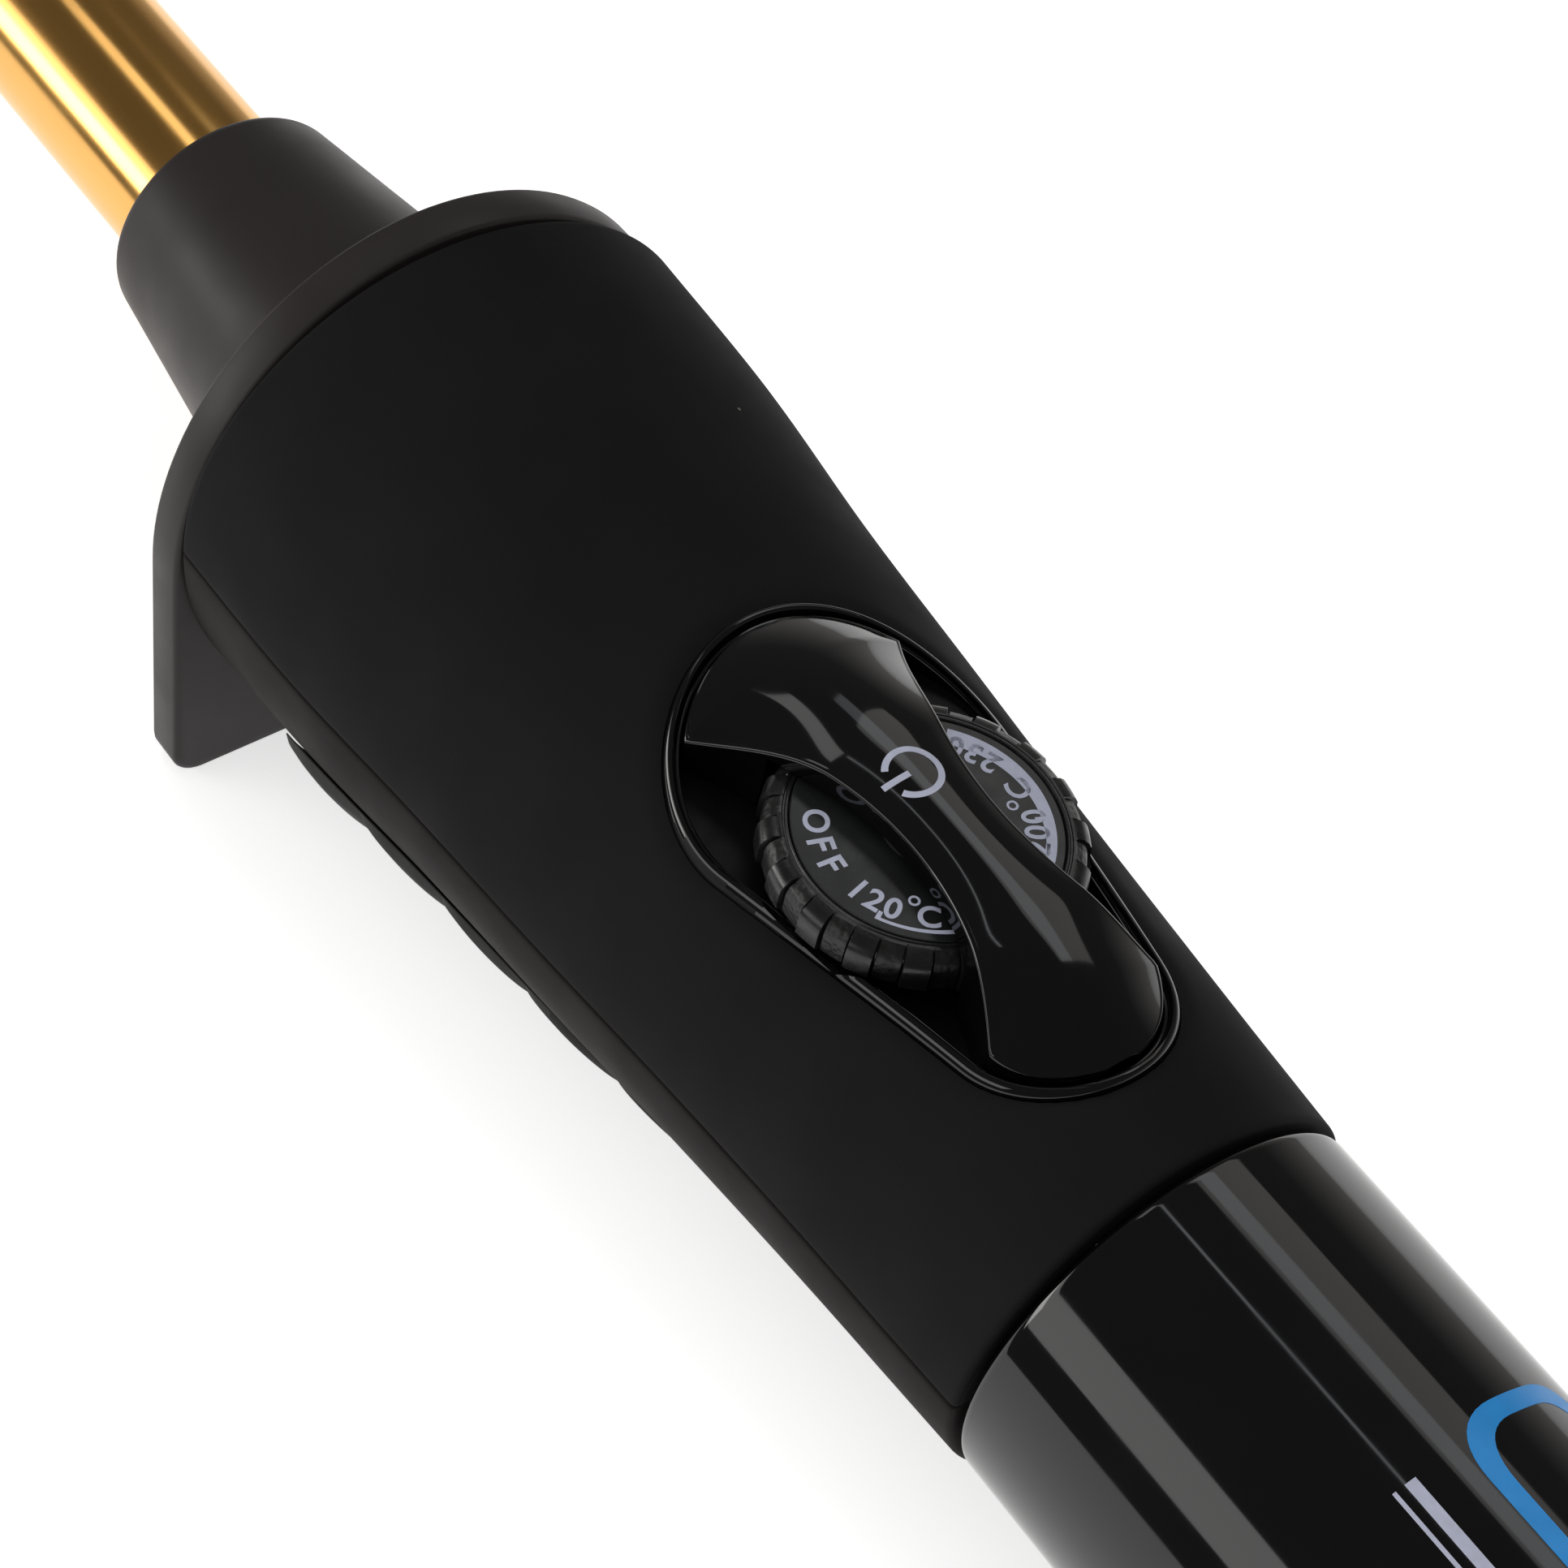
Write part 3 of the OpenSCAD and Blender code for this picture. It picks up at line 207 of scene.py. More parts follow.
def oval_point(turn, inset):
    """Point of the oval's outline for a turn from 0 to 1, moved inwards by inset, and its outward normal."""
    front_span = 2 * (math.pi / 2 + LEAN)
    rear_span = 2 * math.pi - front_span
    front_len = FRONT_R * front_span
    rear_len = REAR_R * rear_span
    side_len = (FRONT_C - REAR_C) * math.cos(LEAN)
    walk = (turn % 1) * (front_len + rear_len + 2 * side_len)
    if walk < front_len:
        a = -front_span / 2 + walk / FRONT_R
        base = Vector((FRONT_C, 0)) + Vector((math.cos(a), math.sin(a))) * (FRONT_R - inset)
        return base, Vector((math.cos(a), math.sin(a)))
    walk -= front_len
    a = front_span / 2
    normal = Vector((math.cos(a), math.sin(a)))
    if walk < side_len:
        start = Vector((FRONT_C, 0)) + normal * (FRONT_R - inset)
        end = Vector((REAR_C, 0)) + normal * (REAR_R - inset)
        return start.lerp(end, walk / side_len), normal
    walk -= side_len
    if walk < rear_len:
        a += walk / REAR_R
        base = Vector((REAR_C, 0)) + Vector((math.cos(a), math.sin(a))) * (REAR_R - inset)
        return base, Vector((math.cos(a), math.sin(a)))
    walk -= rear_len
    normal = Vector((math.cos(a), -math.sin(a)))
    start = Vector((REAR_C, 0)) + normal * (REAR_R - inset)
    end = Vector((FRONT_C, 0)) + normal * (FRONT_R - inset)
    return start.lerp(end, walk / side_len), normal


def oval_distance(x, y):
    """How far a point lies outside the oval's outline; negative inside."""
    p = Vector((x, abs(y)))
    normal = Vector((-math.sin(LEAN), math.cos(LEAN)))
    along = Vector((-math.cos(LEAN), -math.sin(LEAN)))
    from_front = p - Vector((FRONT_C, 0))
    walked = from_front.dot(along)
    if walked < 0:
        return from_front.length - FRONT_R
    if walked > (FRONT_C - REAR_C) * math.cos(LEAN):
        return (p - Vector((REAR_C, 0))).length - REAR_R
    return from_front.dot(normal) - FRONT_R


def oval_half(x, inset):
    """Half width of the oval at a station, moved inwards by inset."""
    rf = FRONT_R - inset
    rr = REAR_R - inset
    on_front = FRONT_C - rf * math.sin(LEAN)
    on_rear = REAR_C - rr * math.sin(LEAN)
    if x > on_front:
        return math.sqrt(max(0, rf * rf - (x - FRONT_C) ** 2))
    if x < on_rear:
        return math.sqrt(max(0, rr * rr - (x - REAR_C) ** 2))
    return (rr + (rf - rr) * (x - on_rear) / (on_front - on_rear)) * math.cos(LEAN)


# ---- Mesh tools ----

def new_piece(name, points, faces, place=tool, sharp=38):
    """A mesh object from points in a frame's millimetres, with its normals outward and smooth shading."""
    mesh = bpy.data.meshes.new(name)
    mesh.from_pydata([tuple(place @ Vector(p)) for p in points], [], faces)
    work = bmesh.new()
    work.from_mesh(mesh)
    bmesh.ops.remove_doubles(work, verts=work.verts, dist=0.001 * MM)
    bmesh.ops.recalc_face_normals(work, faces=work.faces)
    work.to_mesh(mesh)
    work.free()
    shade(mesh, sharp)
    piece = bpy.data.objects.new(name, mesh)
    bpy.context.scene.collection.objects.link(piece)
    return piece


def shade(mesh, sharp):
    mesh.shade_smooth()
    mesh.set_sharp_from_angle(angle=math.radians(sharp))


def loft(name, rings, closed=False, place=tool, sharp=38):
    """A solid through rings of points. closed joins the last ring to the first, else both ends are capped."""
    n = len(rings[0])
    m = len(rings)
    points = [p for ring in rings for p in ring]
    faces = []
    for k in range(m if closed else m - 1):
        here = k * n
        there = (k + 1) % m * n
        for i in range(n):
            j = (i + 1) % n
            faces.append((here + i, here + j, there + j, there + i))
    if not closed:
        faces.append(tuple(range(n)))
        faces.append(tuple(range((m - 1) * n, m * n)))
    return new_piece(name, points, faces, place, sharp)


def rounded(outline, radii, steps=5):
    """A closed outline of 2D points with its corners rounded, by one radius or one for each corner."""
    corners = [Vector(p) for p in outline]
    result = []
    for i, here in enumerate(corners):
        radius = radii[i] if isinstance(radii, (list, tuple)) else radii
        if radius <= 0:
            result.append(here)
            continue
        back = corners[i - 1] - here
        ahead = corners[(i + 1) % len(corners)] - here
        half_angle = max(0.05, back.angle(ahead) / 2)
        reach = min(radius / math.tan(half_angle), 0.45 * back.length, 0.45 * ahead.length)
        start = here + back.normalized() * reach
        end = here + ahead.normalized() * reach
        for k in range(steps + 1):
            t = k / steps
            result.append(start * (1 - t) ** 2 + here * 2 * t * (1 - t) + end * t * t)
    return result


def lathe(name, outline, steps=160, place=tool, sharp=38):
    """A turned piece on the X axis, from a closed outline of (x, radius)."""
    rings = []
    for k in range(steps):
        a = 2 * math.pi * k / steps
        rings.append([(p[0], p[1] * math.cos(a), p[1] * math.sin(a)) for p in outline])
    return loft(name, rings, closed=True, place=place, sharp=sharp)


def prism(name, outline, low, high, place=tool):
    """A straight cutter that stands on an outline of 2D points, between two heights."""
    rings = [[(p[0], p[1], z) for p in outline] for z in (low, high)]
    return loft(name, rings, place=place)


def circle(radius, centre=(0, 0), steps=96):
    return [(centre[0] + radius * math.cos(2 * math.pi * k / steps),
             centre[1] + radius * math.sin(2 * math.pi * k / steps)) for k in range(steps)]


def cut(piece, *cutters, sharp=38):
    """Takes the cutters away from a piece, and removes them."""
    for cutter in cutters:
        step = piece.modifiers.new("cut", "BOOLEAN")
        step.operation = "DIFFERENCE"
        step.solver = "EXACT"
        step.object = cutter
    bpy.context.view_layer.update()
    result = bpy.data.meshes.new_from_object(piece.evaluated_get(bpy.context.evaluated_depsgraph_get()))
    piece.modifiers.clear()
    piece.data = result
    for cutter in cutters:
        bpy.data.objects.remove(cutter)
    shade(piece.data, sharp)


def dial_room(below, above):
    """A cutter for the space in which the dial turns."""
    return prism("dial_room", circle(DIAL_R + DIAL_GAP), -below, above, dial_frame)


# ---- Materials ----

def add(tree, kind, inputs=None, **settings):
    node = tree.nodes.new(kind)
    for key, value in settings.items():
        setattr(node, key, value)
    for key, value in (inputs or {}).items():
        node.inputs[key].default_value = value
    return node


def ramp_between(tree, source, low, high, value_low, value_high):
    """Maps a texture's values from low..high to two other values."""
    node = add(tree, "ShaderNodeMapRange", {1: low, 2: high, 3: value_low, 4: value_high})
    tree.links.new(source, node.inputs[0])
    return node.outputs[0]


DUST = (0.35, 0.32, 0.28, 1)
DUST_SCALE = 400.0
DUST_STRENGTH = 0.55


def surface(name, color, roughness, grain=0.3, grain_depth=0.006, mottle=0.12, mottle_size=6.0,
            rough_vary=0.06, specks=0.0, wear=0.0, pebble=False, stretch=(1, 1, 1), **sockets):
    """A procedural surface. grain and mottle_size are sizes in millimetres, and grain_depth is the grain's
    height. specks is the density of fine dust, wear lightens the edges, pebble makes a leathery grain."""
    material = bpy.data.materials.new(name)
    material.use_nodes = True
    tree = material.node_tree
    shader = tree.nodes["Principled BSDF"]
    shader.inputs["Base Color"].default_value = (*color, 1)
    for key, value in sockets.items():
        shader.inputs[key.replace("_", " ")].default_value = value
    place = add(tree, "ShaderNodeTexCoord").outputs["Object"]
    stretched = add(tree, "ShaderNodeMapping", {"Scale": stretch})
    tree.links.new(place, stretched.inputs[0])
    place = stretched.outputs[0]

    broad = add(tree, "ShaderNodeTexNoise", {"Scale": 1000 / mottle_size, "Detail": 4})
    tree.links.new(place, broad.inputs["Vector"])
    tint = ramp_between(tree, broad.outputs[0], 0.3, 0.7, 1 - mottle, 1 + mottle)
    scaled = add(tree, "ShaderNodeVectorMath", {0: color}, operation="SCALE")
    tree.links.new(tint, scaled.inputs["Scale"])
    paint = scaled.outputs[0]
    if wear > 0:
        edge = add(tree, "ShaderNodeNewGeometry").outputs["Pointiness"]
        amount = ramp_between(tree, edge, 0.52, 0.62, 0, wear)
        worn_color = (*[min(1, c * 2.5 + 0.02) for c in color], 1)
        worn = add(tree, "ShaderNodeMix", {7: worn_color}, data_type="RGBA")
        tree.links.new(amount, worn.inputs[0])
        tree.links.new(paint, worn.inputs[6])
        paint = worn.outputs[2]
    if specks > 0:
        dots = add(tree, "ShaderNodeTexVoronoi", {"Scale": DUST_SCALE, "Randomness": 1.0})
        tree.links.new(place, dots.inputs["Vector"])
        near = ramp_between(tree, dots.outputs["Distance"], 0.05, 0.07, 1, 0)
        chosen = ramp_between(tree, dots.outputs["Color"], 1 - specks, 1 - specks + 0.01, 0,
                              DUST_STRENGTH)
        amount = add(tree, "ShaderNodeMath", operation="MULTIPLY")
        tree.links.new(near, amount.inputs[0])
        tree.links.new(chosen, amount.inputs[1])
        dusty = add(tree, "ShaderNodeMix", {7: DUST}, data_type="RGBA")
        tree.links.new(amount.outputs[0], dusty.inputs[0])
        tree.links.new(paint, dusty.inputs[6])
        paint = dusty.outputs[2]
    tree.links.new(paint, shader.inputs["Base Color"])

    patches = add(tree, "ShaderNodeTexNoise", {"Scale": 1000 / (mottle_size * 0.6), "Detail": 3})
    tree.links.new(place, patches.inputs["Vector"])
    tree.links.new(ramp_between(tree, patches.outputs[0], 0.3, 0.7, clamp(roughness - rough_vary),
                                clamp(roughness + rough_vary)), shader.inputs["Roughness"])
    if grain_depth > 0:
        if pebble:
            fine = add(tree, "ShaderNodeTexVoronoi", {"Scale": 1000 / grain}, feature="SMOOTH_F1")
            height = fine.outputs["Distance"]
        else:
            fine = add(tree, "ShaderNodeTexNoise", {"Scale": 1000 / grain, "Detail": 2})
            height = fine.outputs[0]
        tree.links.new(place, fine.inputs["Vector"])
        bump = add(tree, "ShaderNodeBump", {"Strength": 1.0, "Distance": grain_depth * MM})
        tree.links.new(height, bump.inputs["Height"])
        tree.links.new(bump.outputs[0], shader.inputs["Normal"])
    return material


SOFT_BLACK = surface("soft_black", (0.0112, 0.011, 0.0118), 0.75, grain=0.12, grain_depth=0.004, mottle=0.08,
                     mottle_size=14, specks=0.1, Specular_IOR_Level=0.08)
WARM_BLACK = surface("warm_black", (0.026, 0.0218, 0.0214), 0.44, grain=0.16, grain_depth=0.004, mottle=0.07,
                     mottle_size=12, specks=0.012, wear=0.25, Specular_IOR_Level=0.2)
LOWER_BLACK = surface("lower_black", (0.0115, 0.0095, 0.009), 0.7, grain=0.16, grain_depth=0.004, mottle=0.1,
                      mottle_size=12, specks=0.012, Specular_IOR_Level=0.1)
PAD_RUBBER = surface("pad_rubber", (0.011, 0.0105, 0.010), 0.7, grain=0.4, grain_depth=0.02, mottle=0.1,
                     mottle_size=5, pebble=True, Specular_IOR_Level=0.3)
GLOSS_BLACK = surface("gloss_black", (0.0022, 0.0022, 0.0026), 0.06, grain=2.5, grain_depth=0.0006,
                      mottle=0.2, mottle_size=10, rough_vary=0.02, specks=0.006, Specular_IOR_Level=0.55)
TRAY_SATIN = surface("tray_satin", (0.0022, 0.0022, 0.0024), 0.45, grain=0.5, grain_depth=0.004, mottle=0.15,
                     mottle_size=4, specks=0.03, Specular_IOR_Level=0.2)
DIAL_LAND = surface("dial_land", (0.0085, 0.0085, 0.0088), 0.28, grain=0.3, grain_depth=0.006, mottle=0.2,
                    mottle_size=1.5, rough_vary=0.08, wear=0.2, Specular_IOR_Level=0.5)
DIAL_FIELD = surface("dial_field", (0.0075, 0.0075, 0.0075), 0.42, grain=0.42, grain_depth=0.07, mottle=0.25,
                     mottle_size=0.8, rough_vary=0.1, pebble=True, Specular_IOR_Level=0.5)
LABEL_FACE = surface("label_face", (0.0125, 0.0135, 0.0135), 0.3, grain=0.2, grain_depth=0.002, mottle=0.15,
                     mottle_size=3, specks=0.02, Specular_IOR_Level=0.45)
PRINT_WHITE = surface("print_white", (0.56, 0.59, 0.74), 0.5, grain=0.2, grain_depth=0.003, mottle=0.06,
                      mottle_size=0.8)
PRINT_BLUE = surface("print_blue", (0.015, 0.33, 0.86), 0.4, grain=0.2, grain_depth=0.003, mottle=0.05,
                     mottle_size=2)
GOLD = surface("gold_barrel", (0.86, 0.48, 0.14), 0.17, grain=0.5, grain_depth=0.0012, mottle=0.04,
               mottle_size=4, rough_vary=0.03, stretch=(0.15, 1, 1), Metallic=1.0)

# Inner pieces, one entry for each slot of the record: colour, roughness and whether it is metal
INNER_FINISHES = {
    "heater_metal": ((0.62, 0.63, 0.65), 0.42, 1.0),
    "electrode_metal": ((0.7, 0.7, 0.71), 0.3, 1.0),
    "heater_ceramic": ((0.09, 0.1, 0.12), 0.7, 0.0),
    "film_amber": ((0.5, 0.16, 0.015), 0.25, 0.0),
    "sleeve_white": ((0.68, 0.65, 0.57), 0.85, 0.0),
    "spring_steel": ((0.45, 0.45, 0.47), 0.28, 1.0),
    "screw_steel": ((0.5, 0.5, 0.52), 0.32, 1.0),
    "contact_brass": ((0.68, 0.45, 0.14), 0.25, 1.0),
    "sensor_red": ((0.42, 0.035, 0.015), 0.3, 0.0),
    "board_green": ((0.01, 0.1, 0.035), 0.35, 0.0),
    "component_black": ((0.012, 0.012, 0.012), 0.5, 0.0),
    "capacitor_yellow": ((0.5, 0.32, 0.02), 0.45, 0.0),
    "capacitor_blue": ((0.01, 0.02, 0.12), 0.3, 0.0),
    "resistor_body": ((0.45, 0.34, 0.17), 0.5, 0.0),
    "pot_metal": ((0.38, 0.4, 0.42), 0.35, 1.0),
    "wire_white": ((0.72, 0.72, 0.68), 0.45, 0.0),
    "wire_yellow": ((0.65, 0.48, 0.08), 0.45, 0.0),
    "wire_brown": ((0.1, 0.035, 0.012), 0.45, 0.0),
    "carrier_white": ((0.6, 0.58, 0.52), 0.5, 0.0),
}
inner_materials = {slot: surface(slot, color, rough, grain=0.35, grain_depth=0.01, mottle=0.1,
                                 mottle_size=2.5, Metallic=metal)
                   for slot, (color, rough, metal) in INNER_FINISHES.items()}
for subpart in frame["record"]["subparts"]:
    if subpart["material_slot"] in inner_materials:
        node_mesh = frame["nodes"][subpart["node"]].data
        node_mesh.materials.clear()
        node_mesh.materials.append(inner_materials[subpart["material_slot"]])


def finish(piece, material, replaced=(), body="root"):
    """Gives a piece its material and slot, and lets it ride on a body in place of CAD nodes."""
    if not piece.data.materials:
        piece.data.materials.append(material)
    else:
        piece.data.materials[0] = material
    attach(piece, body)
    if replaced:
        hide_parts(*replaced)
    return piece


# ---- Grip shells ----

SEAM_HALF = 0.05
SHELL_GAP = 0.3
EDGE_R = 0.3
EDGE_STEPS = 4
INNER_STEPS = 24
END_ROUNDING = [(0, 0.42), (0.06, 0.25), (0.16, 0.12), (0.3, 0.03), (0.5, 0)]
GROOVE_W = 1.5
GROOVE_DEPTH = 0.5


def shell_stations(front_gap):
    """Stations along a grip shell, with the inset of its outer face: both ends are rounded."""
    front = GRIP_LEN - front_gap
    flat_start = 0.9
    steps = 128
    middle = [(flat_start + (front - 2 * flat_start) * i / steps, 0) for i in range(steps + 1)]
    return END_ROUNDING + middle + [(front - d, inset) for d, inset in reversed(END_ROUNDING)]


def shell_ring(x, side, inset, steps=104):
    """Cross-section of a grip shell, above (side 1) or below (side -1) the parting line."""
    zc = parting_z(x)
    half = grip_side(x) - inset
    tall = (grip_top(x) - zc if side > 0 else grip_bottom(x) + zc) - inset
    first = math.asin((SEAM_HALF + EDGE_R) / tall)
    ring = []
    for i in range(steps + 1):
        a = first + (math.pi - 2 * first) * i / steps
        y = half * math.cos(a)
        h = tall * math.sin(a)
        if side > 0:
            depth = GROOVE_DEPTH * clamp(1 - oval_distance(x, y) / GROOVE_W) ** 2
            y -= depth * math.cos(a)
            h -= depth * math.sin(a)
        ring.append((y, h))
    corner = [math.pi / 2 * k / EDGE_STEPS for k in range(1, EDGE_STEPS + 1)]
    edge_y = half * math.cos(first) - EDGE_R
    for b in corner:
        ring.append((-edge_y - EDGE_R * math.cos(b), SEAM_HALF + EDGE_R - EDGE_R * math.sin(b)))
    inner_half = grip_side(x) - SHELL_WALL
    inner_tall = tall + inset - SHELL_WALL
    for i in range(INNER_STEPS + 1):
        a = math.pi - math.pi * i / INNER_STEPS
        ring.append((inner_half * math.cos(a), SEAM_HALF + (inner_tall - SEAM_HALF) * math.sin(a)))
    for b in reversed(corner):
        ring.append((edge_y + EDGE_R * math.cos(b), SEAM_HALF + EDGE_R - EDGE_R * math.sin(b)))
    return [(x, y, zc + side * h) for y, h in ring]


def oval_outline(inset, steps=120):
    return [tuple(oval_point(k / steps, inset)[0]) for k in range(steps)]


OPENING_GAP = 0.06
ROOM_ABOVE_DIAL = 6
CUT_REACH = 40

upper = loft("grip_upper_shell", [shell_ring(x, 1, inset) for x, inset in shell_stations(SHELL_GAP)])
cut(upper, prism("opening", oval_outline(-OPENING_GAP), 5, CUT_REACH),
    dial_room(DIAL_RIM_T + DIAL_GAP, ROOM_ABOVE_DIAL))
finish(upper, SOFT_BLACK, ["upper_shell"])

WELL_GAP = 0.3

lower = loft("grip_lower_shell", [shell_ring(x, -1, inset) for x, inset in shell_stations(SHELL_GAP)])
screw_wells = [prism("well", circle(SCREW_HEAD_R + WELL_GAP, (x, s * y), 48), -CUT_REACH, SCREW_HEAD_Z)
               for x, y in SCREW_PLACES for s in (-1, 1)]
cut(lower, *screw_wells)
finish(lower, LOWER_BLACK, ["lower_shell"])


# ---- Finger pad ----

PAD_STEPS = 240
PAD_ROOT = 0.1
PAD_END_SHARE = 0.85


def pad_thickness(x):
    wave = abs(math.sin((x - PAD_START) / HUMP_PITCH * math.pi))
    return PAD_BASE + (HUMP_H - PAD_BASE) * math.sqrt(wave)


def pad_angle(x):
    """Angle below the side of the pad's edge, which drops towards the pad's rear end."""
    behind = 1 - (x - PAD_START) / (PAD_HUMPS * HUMP_PITCH)
    return math.radians(PAD_FRONT_ANGLE + (PAD_REAR_ANGLE - PAD_FRONT_ANGLE) * behind * behind)


def pad_ring(x, thin=1.0, steps=56):
    first = math.pi + pad_angle(x)
    span = math.pi - 2 * pad_angle(x)
    ring = []
    for i in range(steps + 1):
        edge = math.sin(math.pi * i / steps) ** PAD_EDGE_POWER if 0 < i < steps else 0
        lift = PAD_GAP + PAD_ROOT + pad_thickness(x) * edge * thin
        ring.append(grip_point(x, first + span * i / steps, -lift))
    for i in range(steps, -1, -1):
        ring.append(grip_point(x, first + span * i / steps, -PAD_GAP))
    return ring


pad_len = PAD_HUMPS * HUMP_PITCH
pad_rings = [pad_ring(PAD_START + pad_len * i / PAD_STEPS, PAD_END_SHARE if i in (0, PAD_STEPS) else 1)
             for i in range(PAD_STEPS + 1)]
finish(loft("finger_pad_ribs", pad_rings, sharp=50), PAD_RUBBER, ["finger_pad"])


# ---- Collar and stand plate ----

ARCH_STEPS = 72
FOOT_STEPS = 8


def plate_outline(inset):
    """Outline of the stand plate in (y, z), moved inwards by inset, above the table."""
    half = PLATE_HALF - inset
    top = PLATE_TOP - inset
    foot = -FOOT_DEPTH + inset
    corner = FOOT_CORNER_R
    turns = [math.pi * i / ARCH_STEPS for i in range(ARCH_STEPS + 1)]
    points = [(half * math.cos(a), PLATE_ARCH_Z + (top - PLATE_ARCH_Z) * math.sin(a)) for a in turns]
    for side, start in ((-1, 180), (1, 270)):
        for i in range(FOOT_STEPS + 1):
            a = math.radians(start + 90 * i / FOOT_STEPS)
            y = side * (half - corner) + corner * math.cos(a)
            points.append((y, foot + corner + corner * math.sin(a)))
    return points


PLATE_EDGE = [(0, 0.42), (0.08, 0.2), (0.2, 0.08), (0.42, 0)]
plate_sections = PLATE_EDGE + [(PLATE_T - d, inset) for d, inset in reversed(PLATE_EDGE)]
plate = loft("stand_plate", [[(PLATE_REAR_X + d, y, z) for y, z in plate_outline(inset)]
                             for d, inset in plate_sections])
finish(plate, WARM_BLACK)

PLATE_FRONT_X = PLATE_REAR_X + PLATE_T
FILLET = 1.2
MOUTH_DEPTH = 1.2
collar_outline = rounded([
    (PLATE_FRONT_X - 0.6, NECK_R + 0.1), (PLATE_FRONT_X - 0.6, COLLAR_REAR_R + FILLET),
    (PLATE_FRONT_X + 0.02, COLLAR_REAR_R + FILLET), (PLATE_FRONT_X + 1.3, COLLAR_REAR_R - 0.12),
    (COLLAR_FRONT_X, COLLAR_FRONT_R), (COLLAR_FRONT_X, BARREL_R + 0.35),
    (COLLAR_FRONT_X - MOUTH_DEPTH, BARREL_R + 0.25), (COLLAR_FRONT_X - MOUTH_DEPTH, NECK_R + 0.1)],
    [0, 0, 0, 1.4, 2.6, 0.25, 0, 0], steps=8)
finish(lathe("collar", collar_outline), WARM_BLACK, ["collar_plate"])


# ---- Barrel ----

barrel_outline = rounded([
    (COLLAR_FRONT_X - 8, NECK_R - BARREL_WALL), (COLLAR_FRONT_X - 8, NECK_R), (COLLAR_FRONT_X - 1.1, NECK_R),
    (COLLAR_FRONT_X - 1.1, BARREL_R), (BARREL_FRONT_X, BARREL_R), (BARREL_FRONT_X, BARREL_R - BARREL_WALL),
    (COLLAR_FRONT_X, BARREL_R - BARREL_WALL), (COLLAR_FRONT_X, NECK_R - BARREL_WALL)],
    [0, 0, 0, 0.3, 0.25, 0, 0, 0])
finish(lathe("coated_barrel", barrel_outline), GOLD, ["barrel"])


def barrel_tip_outline():
    """Cool tip: a spigot, two grip grooves and a domed nose."""
    rib_r = BARREL_R - 0.1
    groove_r = rib_r - 0.5
    x = BARREL_FRONT_X
    points = [(x - TIP_SPIGOT, 0), (x - TIP_SPIGOT, BARREL_R - BARREL_WALL - 0.03),
              (x + 0.05, BARREL_R - BARREL_WALL - 0.03), (x + 0.05, rib_r)]
    radii = [0, 0.3, 0, 0.3]
    for i in range(3):
        start = x + 3 + i * 2.4
        points += [(start, rib_r), (start + 0.2, groove_r), (start + 0.9, groove_r), (start + 1.1, rib_r)]
        radii += [0.15, 0.15, 0.15, 0.15]
    points += [(TIP_FRONT_X, rib_r - 0.7), (TIP_FRONT_X, 0)]
    radii += [5.5, 0]
    return rounded(points, radii, steps=10)


finish(lathe("cool_tip", barrel_tip_outline()), WARM_BLACK, ["barrel_tip"])


# ---- Rear tube, end cap and cord outlet ----

tube_bore_r = TUBE_R - TUBE_WALL
tube_outline = rounded([(TUBE_REAR_X, tube_bore_r), (TUBE_REAR_X, TUBE_R), (-SEAM_GAP, TUBE_R),
                        (-SEAM_GAP, tube_bore_r)], [0, 0.15, 1.1, 0.3], steps=10)
finish(lathe("rear_tube_gloss", tube_outline, steps=240), GLOSS_BLACK, ["rear_tube"])

CAP_PLUG = 8
RUNNING_GAP = 0.05
cap_bore_r = SWIVEL_R + RUNNING_GAP
cap_plug_r = tube_bore_r - 0.03
cap_outline = rounded([
    (CAP_REAR_X, cap_bore_r), (CAP_REAR_X, TUBE_R), (TUBE_REAR_X - RUNNING_GAP, TUBE_R),
    (TUBE_REAR_X - RUNNING_GAP, cap_plug_r), (TUBE_REAR_X + CAP_PLUG, cap_plug_r),
    (TUBE_REAR_X + CAP_PLUG, cap_bore_r)], [0.3, CAP_ROUND, 0.2, 0, 0.2, 0], steps=14)
cap_outline = [(x, max(r, cap_bore_r)) for x, r in cap_outline]
finish(lathe("end_cap", cap_outline, steps=240), GLOSS_BLACK, ["rear_cap"])

CORD_BORE_LEN = 24
OUTLET_RIBS = 5
RIB_PITCH = 2.3
RIB_GROWTH = 0.36
FLANGE_R = SWIVEL_R + 3.4
FLANGE_GAP = 0.4
SWIVEL_NECK_LEN = 16
SWIVEL_WALL = 2
outlet_end_x = CAP_REAR_X - OUTLET_LEN
bore_end_x = outlet_end_x + CORD_BORE_LEN
flange_x = CAP_REAR_X - FLANGE_GAP
neck_end_x = CAP_REAR_X + SWIVEL_NECK_LEN
outlet_points = [(bore_end_x, CORD_R), (outlet_end_x, CORD_R), (outlet_end_x, CORD_R + 1.9)]
outlet_radii = [0, 0.4, 0.5]
for i in range(OUTLET_RIBS):
    rib_x = outlet_end_x + 1.6 + i * RIB_PITCH
    rib_r = CORD_R + 2.3 + i * RIB_GROWTH
    outlet_points += [(rib_x, rib_r), (rib_x + 0.3, rib_r - 0.55), (rib_x + 0.8, rib_r - 0.5),
                      (rib_x + 1.1, rib_r + 0.2)]
    outlet_radii += [0.2, 0.2, 0.2, 0.2]
outlet_points += [(CAP_REAR_X - 4.6, SWIVEL_R + 1.6), (CAP_REAR_X - 3.8, FLANGE_R), (flange_x, FLANGE_R),
                  (flange_x, SWIVEL_R), (neck_end_x, SWIVEL_R), (neck_end_x, SWIVEL_R - SWIVEL_WALL),
                  (bore_end_x, SWIVEL_R - SWIVEL_WALL)]
